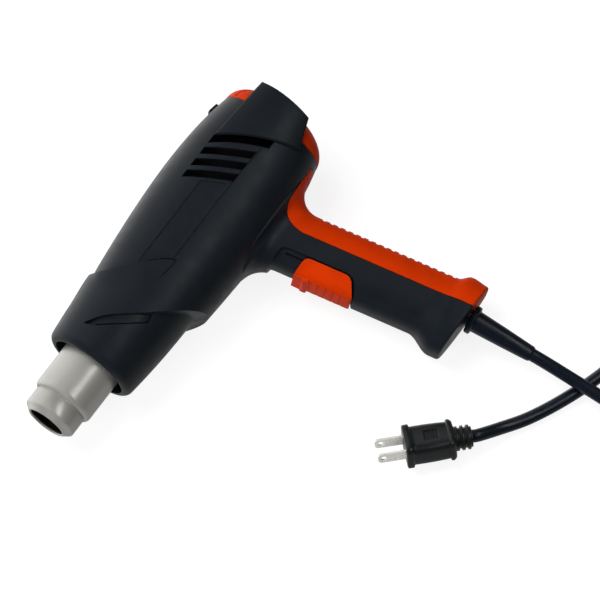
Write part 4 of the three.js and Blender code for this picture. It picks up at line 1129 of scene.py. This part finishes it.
    def strap_field(self, grow: float) -> Solid:
        """Side view of the back strap: a tail under the barrel, a bend, and a band down the grip's back."""
        neck, under, low = self.grip.neck, -self.barrel.bottom[2], -WIDE / 2
        edge, foot = (self.grip.rear_line(y) - self.strap_reach - grow for y in (neck, low))
        tail, end = self.strap_tail + grow, self.strap_end + grow
        curve = quadratic((edge + self.strap_bend, tail), (edge - 1, tail - 1), (edge, neck), 24)
        return Solid.prism(np.vstack([
            [(end, under + 1 + grow)], curve, [(foot, low), (WIDE, low), (end, under - 8)]]))

    def strap_seat(self, play: float) -> Solid:
        """Form under the strap, drawn in by its thickness and some play."""
        inset = self.strap_thickness + play
        seat = self.barrel.solid(inset, BEYOND)
        return seat.join(self.grip.solid(inset, bottom=self.grip.butt + self.strap_foot + play))

    def saddle_edge(self, y: float, grow: float) -> float:
        """Station of the slide switch's straight rear edge at a height."""
        return self.grip.front_line(y) + self.saddle_depth + grow

    def saddle_field(self, top: float, grow: float) -> Solid:
        """Side view of the slide switch, or of its track: parallel to the grip's front, with round corners.

        Args:
            top: Height of its upper edge.
            grow: Distance that the outline is grown by.

        Returns:
            The prism over that view.
        """
        corner, heel, foot, ahead = self.saddle_corner, self.saddle_heel, self.saddle_bottom, self.saddle_ahead
        front, edge = self.grip.front_line, self.saddle_edge
        upper = quadratic((edge(top, grow) - corner, top + grow), (edge(top, grow), top + grow),
                          (edge(top - corner, grow), top - corner), 12)
        lower = quadratic((edge(heel + corner, grow), heel + corner), (edge(heel, grow), heel - grow),
                          (edge(heel, grow) - corner, heel - self.saddle_slope - grow), 12)
        return Solid.prism(np.vstack([
            [(front(top) - ahead, top + grow)], upper, lower, [(front(foot), foot - grow)],
            [(front(foot) - ahead, foot - grow)]]))

    def panel_lead(self, forward: float) -> np.ndarray:
        """Front edge of a side panel from its top corner to its toe, moved forward."""
        return quadratic(*self.panel_front, 40) - [forward, 0]

    def intake_slots(self) -> Solid:
        """Three leaning slots and the long one along the panel's front edge."""
        (top, bottom), half, count = self.slot_span, self.slot_half, self.last_slot_samples
        run = (top - bottom) * self.slot_lean
        under = self.panel_lead(-self.slot_under)[:count]
        cut = Solid.prism(np.vstack([self.panel_lead(2 * half)[:count], under[::-1]]))
        for number in range(self.slots):
            start = self.slot_first + self.slot_pitch * number
            cut.join(Solid.prism([
                (start - half, top), (start + half, top), (start + half + run, bottom),
                (start - half + run, bottom)]))
        return cut

    def badge_fields(self) -> Solid:
        """Shallow bare fields on both sides, from the crease to the slots, and the lines below them."""
        first, *others = (Solid.prism(outline) for outline in self.badge)
        return first.join(*others).cut(self.barrel.solid(self.badge_depth))

    def latch_field(self, grow: float, proud: float, depth: float) -> Solid:
        """Small tab on top of the barrel, or the pocket that it sits in.

        Args:
            grow: Distance that the tab's sides are grown by.
            proud: Height over the barrel.
            depth: Depth under the barrel's surface.

        Returns:
            The solid.
        """
        half, (low, high) = self.latch_width / 2 + grow, self.latch_run
        block = Solid.block((low - grow, 0, -half), (high + grow, WIDE, half))
        block.common(self.barrel.solid(-proud))
        return block.cut(self.barrel.solid(depth, BEYOND, self.barrel.front - BEYOND))

    def stem_slot(self) -> Solid:
        """Slot behind the track that the switch's stem moves in."""
        low, high, below, above, width = self.stem_room
        return self.grip.layer(self.stem_height, low, high, below, above + self.saddle_travel, width)

    def track_slit(self) -> Solid:
        """Narrow slit in the floor of the track, on both sides, that the saddle's skirt slides over."""
        slit = self.grip.layer(self.slit_height, *self.slit, WIDE)
        return slit.cut(self.grip.solid(self.saddle_thickness + CLEARANCE + self.slit_depth))

    def cord_hole(self) -> Solid:
        """Hole in the butt for the cord's boot."""
        along, across = squircle(48, 2.0)
        reach, radius = np.array([[8.0], [-8.0]]), self.cord_bore / 2
        hole = Solid.sections(radius * along[::-1], reach, radius * across[::-1])
        return hole.turned(CORD_LEAN, *CORD_EXIT)

    def build(self) -> None:
        """Builds and dresses the halves and everything that is let into or laid on them."""
        self.build_halves()
        self.build_strap()
        self.build_saddle()
        self.build_panels()
        self.build_cap()
        latch = self.latch_field(0, self.latch_proud, self.latch_depth)
        self.shop.add(latch.piece("latch_tab", self.pose), Body.FIXED, CHARCOAL, "black_plastic", "cap_latch")

    def build_halves(self) -> None:
        """Hollows the outer form, makes every cut in it and splits it at the seam."""
        form = self.outer_form()
        form.cut(self.cavity(), self.nose.bore(), self.intake_slots())
        form.cut(self.strap_field(CLEARANCE).cut(self.strap_seat(CLEARANCE)))
        top = self.saddle_top + self.saddle_travel * self.grip.fall + self.track_play
        track = self.saddle_field(top, self.saddle_gap).cut(self.grip.solid(self.saddle_thickness + CLEARANCE))
        pocket = self.latch_field(CLEARANCE, BEYOND, self.latch_depth + CLEARANCE)
        form.cut(track, pocket, self.stem_slot(), self.nose.grooves())
        form.cut(self.badge_fields(), self.track_slit(), self.cord_hole())
        for x, y in self.screws:
            form.cut(Solid.rod(x, y, -WIDE, self.screw_seat, self.screw_bore))
        for side in Side:
            low, high = side.span(self.seam / 2)
            shell = form.copy().common(Solid.block((-WIDE, -WIDE, low), (WIDE, WIDE, high)))
            name = side.name.lower()
            self.shop.add(shell.piece(f"{name}_shell", self.pose), Body.FIXED, CHARCOAL, "black_plastic",
                          f"{name}_housing")
        form.discard()

    def build_strap(self) -> None:
        """Takes the strap from the outer form and rules ridges across its back."""
        strap = self.outer_form().common(self.strap_field(0)).cut(self.strap_seat(0), self.cord_hole())
        back, half = self.grip.depth * self.grip.fall, self.ridge_gap / 2
        low, high = (back + run for run in self.ridge_run)
        core = self.grip.solid(self.ridge_depth)
        for number in range(self.strap_grooves):
            y = self.grip.neck - self.strap_first - number * self.strap_pitch * self.grip.fall
            strap.cut(self.grip.layer(y, low, high, half, half, self.grip.thickness).cut(core.copy()))
        core.discard()
        self.shop.add(strap.piece("ridged_strap", self.pose), Body.FIXED, ORANGE, "orange_plastic", "back_strap")

    def saddle_front(self) -> Solid:
        """Room in front of the saddle, which leaves a thumb catch near its top and rounds its lower end."""
        return Solid.prism(self.grip.beside(self.saddle_top, *np.array(self.saddle_face).T))

    def build_saddle(self) -> None:
        """Makes the slide switch: a flat-sided skin over the grip with a thumb catch, scallops and a stem."""
        form = replace(self.grip, squareness=self.saddle_squareness)
        catch = self.grip.layer(self.saddle_top, *self.catch_block, self.grip.thickness * self.catch_share)
        catch.common(form.solid(-self.saddle_catch))
        saddle = form.solid(-self.saddle_proud).join(catch).common(self.saddle_field(self.saddle_top, 0))
        saddle.cut(self.grip.solid(self.saddle_thickness), self.saddle_front())
        core = form.solid(self.scallop_depth - self.saddle_proud)
        below = self.scallop_first + np.arange(self.scallops) * self.scallop_pitch
        for x, y in self.grip.beside(self.saddle_top, np.zeros(self.scallops), below):
            saddle.cut(Solid.rod(x, y, -WIDE, WIDE, self.scallop_width).cut(core.copy()))
        core.discard()
        saddle.join(self.grip.layer(self.stem_height, *self.stem))
        self.shop.add(
            saddle.piece("thumb_slide", self.pose), Body.SWITCH, ORANGE, "orange_plastic", "slide_switch")

    def build_panels(self) -> None:
        """Makes the raised side panels: a plate that follows the barrel and runs straight past its end."""
        outline = np.vstack([self.panel_lead(0), quadratic(*self.panel_rear, 24)])
        for side in Side:
            low, high = side.span(0.0)
            layers = []
            for inset, drop in self.panel_edge:
                layer = self.barrel.solid(
                    drop - CLEARANCE - self.panel_thickness, self.panel_past, self.barrel.bulge)
                layers.append(layer.common(Solid.prism(shrunk(outline, inset), low, high)))
            plate = layers[0].join(*layers[1:]).cut(self.barrel.solid(-CLEARANCE, self.panel_room))
            name = side.name.lower()
            self.shop.add(plate.piece(f"{name}_intake_plate", self.pose), Body.FIXED, CHARCOAL, "black_plastic",
                          f"{name}_side_panel")

    def cap_form(self, inset: float) -> Solid:
        """Dome behind the barrel: its reach falls off as superellipses, fullest across its width."""
        x = np.linspace(self.barrel.rear + CLEARANCE, self.cap_rear - inset, 40)[:, None]
        part = (x - self.barrel.rear) / (self.cap_depth - inset)
        top, bottom, side = ((1 - part ** power) ** (1 / power) for power in self.cap_powers)
        along, across = squircle(160, self.barrel.squareness)
        tall = np.where(across > 0, self.barrel.top[2] * top, self.barrel.bottom[2] * bottom) - inset
        broad = (self.barrel.reach(x, self.barrel.side) - 2 * CLEARANCE) * side - inset
        return Solid.sections(x, across * tall, along * broad)

    def build_cap(self) -> None:
        """Makes the rear cap with grooves over its top."""
        rear, half = self.barrel.rear, self.cap_groove_width / 2
        hollow = Solid.block((rear + self.cap_floor, -WIDE, -WIDE), (WIDE, WIDE, WIDE))
        cap = self.cap_form(0).cut(self.cap_form(self.cap_wall).common(hollow))
        low, high = rear + self.cap_groove_run[0], self.cap_rear - self.cap_groove_run[1]
        for z in self.cap_grooves:
            groove = Solid.block((low, 0, z - half), (high, WIDE, z + half))
            cap.cut(groove.cut(self.cap_form(self.cap_groove_depth)))
        self.shop.add(cap.piece("ribbed_cap", self.pose), Body.FIXED, ORANGE, "orange_plastic", "rear_cap")


# Hot end


@dataclass
class HeaterTube:
    """Stepped stainless tube with a curled mouth."""

    shop: Workshop
    pose: Pose
    mouth: float = 23.2
    tip: float = 34.0
    tip_length: float = 15.0
    curl: float = 4.4
    curl_radius: float = 2.2
    curl_start: float = 0.28
    bead: float = 1.7
    bead_end: float = 0.35
    tube: float = 38.6
    step: float = 3.4
    channel: Outline = ((-1.3, 0.0), (-0.9, -0.3), (-0.3, -0.4), (-0.05, -0.4))
    throat: Outline = ((0.3, 1.2), (0.0, 0.2))
    wall: float = 1.0
    length: float = 97.0
    flange: float = 46.0
    flange_thickness: float = 1.6
    sides: int = 160

    def build(self) -> None:
        """Turns the tube: rolled rim, drawn-in shoulder, straight tip, rounded step, tube and rear flange."""
        tip, tube, mouth, bead = (size / 2 for size in (self.tip, self.tube, self.mouth, self.bead))
        turn = np.linspace(-np.pi / 2, np.pi * self.bead_end, 16)
        rim = np.column_stack([bead * (1 - np.cos(turn)), mouth + bead * (1 + np.sin(turn))])
        turn = np.linspace(np.pi * self.curl_start, np.pi / 2, 16)
        shoulder = np.column_stack([
            self.curl - self.curl_radius * np.cos(turn), tip - self.curl_radius * (1 - np.sin(turn))])
        channel = np.array(self.channel) + [self.tip_length, tip]
        rise = np.linspace(0, 1, 20)
        arc = np.sqrt(1 - (1 - rise) ** 2)
        step = np.column_stack([self.tip_length + self.step * rise, tip + (tube - tip) * arc])
        back, flange = self.length - self.flange_thickness, self.flange / 2
        outer = np.vstack([
            rim, shoulder, channel, step, [(back, tube), (back, flange), (self.length, flange)]])
        inner = np.vstack([
            [(self.length, tube - self.wall), (self.tip_length + self.step, tube - self.wall),
             (self.tip_length, tip - self.wall), (self.curl, tip - self.wall)],
            np.array(self.throat) + [self.bead, mouth]])
        profile = np.vstack([inner[::-1], outer[::-1]])
        item = Solid.revolve(profile, self.sides).piece("stepped_nozzle", self.pose, 40)
        # The vertices of the bore are marked for painted shade, which darkens the inside of the tube
        inner_shade = np.repeat(np.arange(len(profile)) < len(inner), self.sides).astype(np.float32)
        item.data.attributes.new(BORE_SHADE, "FLOAT", "POINT").data.foreach_set("value", inner_shade)
        self.shop.add(item, Body.FIXED, STAINLESS, "stainless", "nozzle_tube")


# Cord and plug


@dataclass
class Plug:
    """Two-blade plug that lies on the floor on one edge of its flanges."""

    shop: Workshop
    place: Pair = (-2.5, -114.3)
    heading: float = -44.55
    roll: float = 26.0
    flange: Triple = (24.4, 17.4, 4.2)
    waist: Pair = (22.5, 15.5)
    tail: Pair = (21.0, 15.5)
    waist_bulge: float = 0.8
    body_length: float = 22.2
    collar: Triple = (23.4, 17.0, 4.0)
    sleeve: float = 15.0
    sleeve_length: float = 10.5
    ribs: int = 3
    rib: tuple[Triple, ...] = (
        (0.3, 0.0, 0.3), (0.7, 0.0, 0.0), (0.0, 0.5, 0.0), (0.0, 0.58, 0.4), (0.0, 0.62, 2.4), (0.0, 0.95, 2.4))
    pad_depth: float = 0.5
    pad_low: Pair = (12.0, -3.6)
    pad_high: Pair = (21.0, 5.5)
    pad_grooves: int = 5
    pad_first: float = 12.6
    pad_pitch: float = 1.7
    pad_groove: float = 1.0
    pad_margin: float = 0.4
    blade_spacing: float = 12.7
    blade: Triple = (17.0, 6.35, 1.5)
    blade_corner: float = 2.2
    blade_root: float = 6.0
    blade_hole: Pair = (3.5, 3.2)

    @property
    def length(self) -> float:
        """Length from the front face to the end of the sleeve."""
        return self.flange[2] + self.body_length + self.collar[2] + self.sleeve_length

    def pose(self) -> Pose:
        """Pose on the floor: heading about the vertical after a roll about the plug's own axis."""
        axes = spin(self.heading) @ np.roll(spin(90 - self.roll), 1, axis=(0, 1))
        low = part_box("plug_body")[0]
        reach = self.rings().reshape(-1, 3) @ axes.T
        return Pose(np.array([*self.place, low.z * METRE - reach[:, 2].min()]), axes)

    def rings(self) -> np.ndarray:
        """Sections from the front flange through the waist and the collar to the ribbed sleeve.

        Each is a superellipse, given by its station, width, height and squareness.
        """
        (wide, tall, thick), (waist_wide, waist_tall) = self.flange, self.waist
        (collar_wide, collar_tall, collar_thick), round_ = self.collar, self.sleeve
        end = thick + self.body_length
        sleeve = end + collar_thick
        stops = [
            (0.0, wide - 1.4, tall - 1.4, 6), (0.25, wide - 0.5, tall - 0.5, 6), (0.8, wide, tall, 6),
            (thick - 0.5, wide, tall, 6), (thick - 0.1, wide - 0.6, tall - 0.6, 6),
            (thick, waist_wide + 0.6, waist_tall + 0.6, 5)]
        part = np.linspace(0.02, 1.0, 14)
        bulge = self.waist_bulge * np.sin(np.pi * part)
        stops += zip(
            thick + self.body_length * part, waist_wide + (self.tail[0] - waist_wide) * part + bulge,
            waist_tall + (self.tail[1] - waist_tall) * part, np.full(len(part), 4.5))
        stops += [
            (end + 0.1, collar_wide - 0.8, collar_tall - 0.8, 5), (end + 0.5, collar_wide, collar_tall, 5),
            (end + collar_thick * 0.5, collar_wide, collar_tall, 5),
            (sleeve - 0.4, collar_wide - 2.2, collar_tall - 1.2, 4), (sleeve, round_, round_, 2)]
        pitch = self.sleeve_length / self.ribs
        for at in sleeve + pitch * np.arange(self.ribs):
            stops += [(at + start + pitch * share, round_ - inset, round_ - inset, 2)
                      for start, share, inset in self.rib]
        grid = []
        for x, width, height, squareness in stops:
            along, across = squircle(96, squareness)
            grid.append(np.column_stack([np.full(96, x), across * height / 2, along * width / 2]))
        return np.stack(grid)

    def cut_pad(self, moulding: Solid) -> None:
        """Sinks a ribbed pad into the upper side of the moulding."""
        floor, margin = self.waist[1] / 2 - self.pad_depth, self.pad_margin
        (low_x, low_z), (high_x, high_z) = self.pad_low, self.pad_high
        moulding.cut(Solid.block((low_x, floor, low_z), (high_x, floor + BEYOND, high_z)))
        for start in self.pad_first + self.pad_pitch * np.arange(self.pad_grooves):
            moulding.cut(Solid.block(
                (start, floor - self.pad_depth, low_z + margin),
                (start + self.pad_groove, floor + BEYOND, high_z - margin)))

    def build(self) -> list[bpy.types.Object]:
        """Builds the moulding and its blades and returns them."""
        pose = self.pose()
        moulding = Solid.loft(self.rings())
        self.cut_pad(moulding)
        (length, width, thin), corner, root = self.blade, self.blade_corner, self.blade_root
        turn = np.linspace(-np.pi / 2, np.pi / 2, 20)
        nose = np.column_stack([
            corner - length - corner * np.cos(turn),
            np.sign(turn) * (width / 2 - corner) + corner * np.sin(turn)])
        outline = np.vstack([nose, [(root, width / 2), (root, -width / 2)]])
        room = width / 2 + CLEARANCE
        made = []
        for number, side in enumerate(Side, 1):
            z = side.value * self.blade_spacing / 2
            low, high = z - thin / 2, z + thin / 2
            moulding.cut(Solid.block((-1, -room, low - CLEARANCE), (root + CLEARANCE, room, high + CLEARANCE)))
            blade = Solid.prism(outline, low, high)
            blade.cut(Solid.rod(self.blade_hole[0] - length, 0, -WIDE, WIDE, self.blade_hole[1]))
            made.append(self.shop.add(blade.piece(f"blade_{number}", pose), Body.FIXED, NICKEL, "nickel",
                                      f"plug_blade_{number}"))
        made.append(self.shop.add(
            moulding.piece("plug_moulding", pose, 50), Body.FIXED, PLUG_RUBBER, "cord_rubber", "plug_body"))
        return made


@dataclass
class Cord:
    """Mains cord: out of the boot, over its own tail to a tied coil of two layers, and back to the plug."""

    shop: Workshop
    tool: Pose
    plug: Plug
    diameter: float = 8.0
    gap: float = 0.5
    middle: float = 81.0
    loops: int = 5
    layer_change: float = 0.5
    layer_dip: float = 2.0
    centre: Pair = (148.4, -248.8)
    entry_angle: float = -174.0
    exit_angle: float = 72.0
    crossing: Pair = (91.1, -176.8)
    tail_rise: tuple[Triple, ...] = ((59.2, -163.0, 0.5), (42.3, -152.8, 2.6))
    tie_angle: float = -50.0
    tie_width: float = 12.0
    tie_thickness: float = 0.8
    tie_slack: float = 1.2
    tie_corner: float = 3.2
    tie_lift: float = 28.0
    boot_length: float = 44.0
    boot: Outline = (
        (44.5, 0.05), (44.5, 4.05), (43.6, 4.6), (42.6, 4.85), (24.0, 5.9), (6.0, 6.75), (5.2, 6.8), (5.2, 7.6),
        (4.9, 8.5), (4.4, 9.0), (2.2, 9.0), (1.6, 8.7), (1.2, 8.0), (1.2, 5.5), (-6.1, 5.5), (-6.1, 8.0),
        (-9.1, 8.0), (-9.1, 0.05))
    plug_straight: float = 3.0

    @property
    def pitch(self) -> float:
        """Distance between turns that lie side by side."""
        return self.diameter + self.gap

    @property
    def turns(self) -> float:
        """Turns of the coil in all."""
        return self.loops + (self.exit_angle - self.entry_angle) / 360.0

    @property
    def wind(self) -> float:
        """Turns wound in on the upper layer, and out again on the lower one."""
        return (self.turns - self.layer_change) / 2.0

    @property
    def inner(self) -> float:
        """Radius of the innermost turn."""
        return self.middle / 2 - self.pitch * self.wind / 2

    def boot_axis(self) -> np.ndarray:
        """Direction in which the boot points, in the tool's frame."""
        lean = np.radians(CORD_LEAN)
        return np.array([np.sin(lean), -np.cos(lean), 0.0])

    def coil(self) -> np.ndarray:
        """Points of the coil: a spiral in, half a turn down a layer, and a spiral out, lifted over the tie."""
        turn = np.linspace(0.0, self.turns, round(self.turns * 48) + 1)
        change = np.clip((turn - self.wind) / self.layer_change, 0.0, 1.0)
        outward = np.clip(turn - self.wind - self.layer_change, 0.0, None)
        steps = self.wind - np.minimum(turn, self.wind) + outward
        radius = self.inner + self.pitch * steps - self.layer_dip * np.sin(np.pi * change)
        angle = np.radians(self.entry_angle) + 2.0 * np.pi * turn
        off = angle - np.radians(self.tie_angle)
        away = np.degrees(np.arctan2(np.sin(off), np.cos(off)))
        lift = (self.tie_thickness + CLEARANCE) * np.exp(-(away / self.tie_lift) ** 2)
        layer = self.pitch * (1.0 + np.cos(np.pi * change)) / 2.0
        return np.column_stack([
            self.centre[0] + radius * np.cos(angle), self.centre[1] + radius * np.sin(angle),
            self.diameter / 2 + layer + lift])

    def route(self) -> np.ndarray:
        """Whole centre line, from the boot to the plug, in millimetres in the row frame."""
        thick = self.diameter
        boot = self.tool.point(np.array([*CORD_EXIT, 0.0]) + self.boot_axis() * self.boot_length)
        out = self.tool.direction(self.boot_axis())
        plug = self.plug.pose()
        plug_end, plug_out = plug.point([self.plug.length, 0, 0]), plug.direction([1, 0, 0])
        half, wound = thick / 2, self.coil()
        enter, leave = wound[0] - wound[1], wound[-1] - wound[-2]
        enter, leave = enter / np.linalg.norm(enter), leave / np.linalg.norm(leave)
        lead = centripetal(np.array([
            boot + out * CLEARANCE, boot + out * thick, [*self.crossing, half + self.pitch + 3 * CLEARANCE],
            wound[0] + enter * 2 * thick, wound[0] + enter * thick]), 8)
        tail = centripetal(np.array([
            wound[-1] + leave * thick, wound[-1] + leave * 2 * thick, [*self.crossing, half + CLEARANCE],
            *(np.array(self.tail_rise) + [0, 0, half]), plug_end + plug_out * self.plug_straight,
            plug_end + plug_out * CLEARANCE]), 8)
        return np.vstack([lead, wound, tail])

    def build_boot(self) -> bpy.types.Object:
        """Turns the strain relief: an inner flange, a neck, an outer flange and a tapered sleeve."""
        boot = Solid.revolve(self.boot).turned(CORD_LEAN - 90, *CORD_EXIT)
        return self.shop.add(boot.piece("cord_boot", self.tool, 40), Body.FIXED, SHEATH, "cord_rubber",
                             "strain_relief")

    def build_tie(self) -> bpy.types.Object:
        """Makes the band round the bundle: a rounded rectangle of thin strap."""
        outer = self.inner + self.pitch * (self.wind - (self.tie_angle - self.entry_angle) / 360.0)
        margin, corner, thin = self.diameter / 2 + self.tie_slack, self.tie_corner, self.tie_thickness
        high, low = outer + margin, outer - 2 * self.pitch - margin
        top = 2 * self.pitch - self.gap + thin + 2 * CLEARANCE
        angle = round_angles(96)
        wave = np.column_stack([np.cos(angle), np.sin(angle)])
        flat = np.sign(wave) * [(high - low) / 2 - corner, (top - thin) / 2 - corner]
        flat = flat + [(high + low) / 2, (top + thin) / 2]
        grow, shift = np.array([[thin, -1], [thin, 1], [0.0, 1], [0.0, -1]]).T[:, :, None, None]
        bands = flat + (corner + grow) * wave
        radial, along, up = spin(self.tie_angle).T
        grid = np.array([*self.centre, 0.0]) + bands[..., :1] * radial + bands[..., 1:] * up
        tie = Solid.hoop(grid + shift * self.tie_width / 2 * along)
        floor = Pose(np.zeros(3), np.eye(3))
        return self.shop.add(tie.piece("coil_band", floor), Body.FIXED, SHEATH, "cord_rubber", "cord_tie")

    def build(self) -> None:
        """Lays the cord as one curve, with its boot, tie and plug."""
        points = self.route() / METRE
        curve = bpy.data.curves.new("mains_cord", "CURVE")
        curve.dimensions = "3D"
        curve.bevel_depth = self.diameter / 2 / METRE
        curve.bevel_resolution = 6
        curve.use_fill_caps = True
        spline = curve.splines.new("POLY")
        spline.points.add(len(points) - 1)
        spline.points.foreach_set("co", np.column_stack([points, np.ones(len(points))]).ravel())
        spline.use_smooth = True
        cord = bpy.data.objects.new("mains_cord", curve)
        bpy.context.scene.collection.objects.link(cord)
        self.shop.add(cord, Body.FIXED, SHEATH, "cord_rubber", "cord_lead", "cord_coil", "cord_tail")
        others = [self.build_boot(), self.build_tie(), *self.plug.build()]


# Studio


@dataclass(frozen=True)
class Lamp:
    """Soft light that faces the object: place and size in metres, power in watts, and whether it is reflected."""

    name: str
    place: Triple
    size: Pair
    power: float
    glint: bool = False

    def build(self) -> None:
        """Hangs the light."""
        light = bpy.data.lights.new(self.name, "AREA")
        light.shape = "RECTANGLE"
        light.size, light.size_y = self.size
        light.energy = self.power
        item = bpy.data.objects.new(self.name, light)
        item.location = self.place
        item.rotation_mode = "QUATERNION"
        item.rotation_quaternion = Vector(self.place).to_track_quat("Z", "Y")
        item.visible_glossy = self.glint
        bpy.context.scene.collection.objects.link(item)


@dataclass
class Studio:
    """Pale floor, soft light and the photograph's camera, in metres."""

    azimuth: float = -54.1
    elevation: float = 69.0
    distance: float = 4.1318
    shift_right: float = 0.02886
    shift_up: float = 0.02736
    field_degrees: float = 5.0
    sensor: float = 36.0
    clip: Pair = (0.1, 50.0)
    floor_reach: float = 6.0
    floor_drop: float = 0.0004
    floor_grey: float = 0.24
    floor_glow: float = 0.82
    floor_roughness: float = 0.7
    room_side: Triple = (0.15, 0.97, -0.1)
    room_glow: tuple[float, float, float, float] = (0.35, 1.0, 0.05, 1.4)
    table_glow: tuple[float, float, float, float] = (0.05, -0.5, 0.0, 0.42)
    lamps: tuple[Lamp, ...] = (
        Lamp("overhead", (-0.15, 0.9, 1.9), (1.2, 1.2), 34.0),
        Lamp("fill", (-1.8, -0.1, 0.9), (1.2, 1.0), 28.0),
        Lamp("strip", (0.58, -0.78, 1.75), (1.6, 0.45), 8.5, glint=True))

    def axes(self) -> tuple[Vector, Vector, Vector]:
        """Right, up and backward directions of the camera."""
        a, e = np.radians(self.azimuth), np.radians(self.elevation)
        back = Vector((np.sin(a) * np.cos(e), -np.cos(a) * np.cos(e), np.sin(e)))
        right = Vector((np.cos(a), np.sin(a), 0.0))
        return right, back.cross(right), back

    def build_camera(self) -> None:
        """Places the camera on a long lens."""
        right, up, back = self.axes()
        camera = bpy.data.cameras.new("camera")
        camera.sensor_width = self.sensor
        camera.lens = self.sensor / 2 / np.tan(np.radians(self.field_degrees / 2))
        camera.clip_start, camera.clip_end = self.clip
        item = bpy.data.objects.new("camera", camera)
        item.location = right * self.shift_right + up * self.shift_up + back * self.distance
        item.rotation_mode = "QUATERNION"
        item.rotation_quaternion = (-back).to_track_quat("-Z", "Y")
        bpy.context.scene.collection.objects.link(item)
        bpy.context.scene.camera = item

    def build_floor(self) -> None:
        """Lays a pale floor under the object, which glows a little and is left out of reflections."""
        far = self.floor_reach
        mesh = bpy.data.meshes.new("floor")
        mesh.from_pydata([(-far, -far, 0), (far, -far, 0), (far, far, 0), (-far, far, 0)], [], [(0, 1, 2, 3)])
        sheet = NodeSheet(bpy.data.materials.new("pale_floor"))
        sheet.surface(
            Base_Color=(*[self.floor_grey] * 3, 1.0), Roughness=self.floor_roughness, Specular_IOR_Level=0.0,
            Emission_Color=WHITE, Emission_Strength=self.floor_glow)
        mesh.materials.append(sheet.owner)
        floor = bpy.data.objects.new("floor", mesh)
        floor.location.z = -self.floor_drop
        floor.visible_glossy = False
        floor.visible_diffuse = False
        bpy.context.scene.collection.objects.link(floor)
        floor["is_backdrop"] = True

    def build_room(self) -> None:
        """Sets up a room that is bright on the side behind the tool, pale below it and dim elsewhere."""
        sheet = NodeSheet(bpy.data.worlds.new("room"), "Generated")
        facing = sheet.node("ShaderNodeVectorMath", operation="DOT_PRODUCT")
        total = sheet.node("ShaderNodeMath", operation="ADD")
        height = sheet.node("ShaderNodeSeparateXYZ", Vector=sheet.place).outputs["Z"]
        glow = sheet.ramp(facing.outputs["Value"], *self.room_glow, "SMOOTHSTEP")
        below = sheet.ramp(height, *self.table_glow, "SMOOTHSTEP")
        background = sheet.tree.nodes["Background"].inputs
        for socket, value in (
                (facing.inputs[0], sheet.place), (facing.inputs[1], Vector(self.room_side).normalized()),
                (total.inputs[0], glow), (total.inputs[1], below),
                (background["Strength"], total.outputs["Value"]), (background["Color"], WHITE)):
            sheet.feed(socket, value)
        bpy.context.scene.world = sheet.owner

    def build(self) -> None:
        """Sets up camera, floor and light."""
        self.build_camera()
        self.build_floor()
        self.build_room()
        for lamp in self.lamps:
            lamp.build()
        bpy.context.scene.view_settings.view_transform = "Standard"


def main() -> None:
    """Builds the studio and every assembly, in order."""
    logging.basicConfig(level=logging.INFO, format="%(name)s: %(message)s")
    shop = Workshop()
    pose = Pose.from_joints(shop.frame["joints"], fan_station=140.0)
    Studio().build()
    Cord(shop, pose, Plug(shop)).build()
    HeaterTube(shop, pose).build()
    Housing(shop, pose).build()


if __name__ == "__main__":
    main()
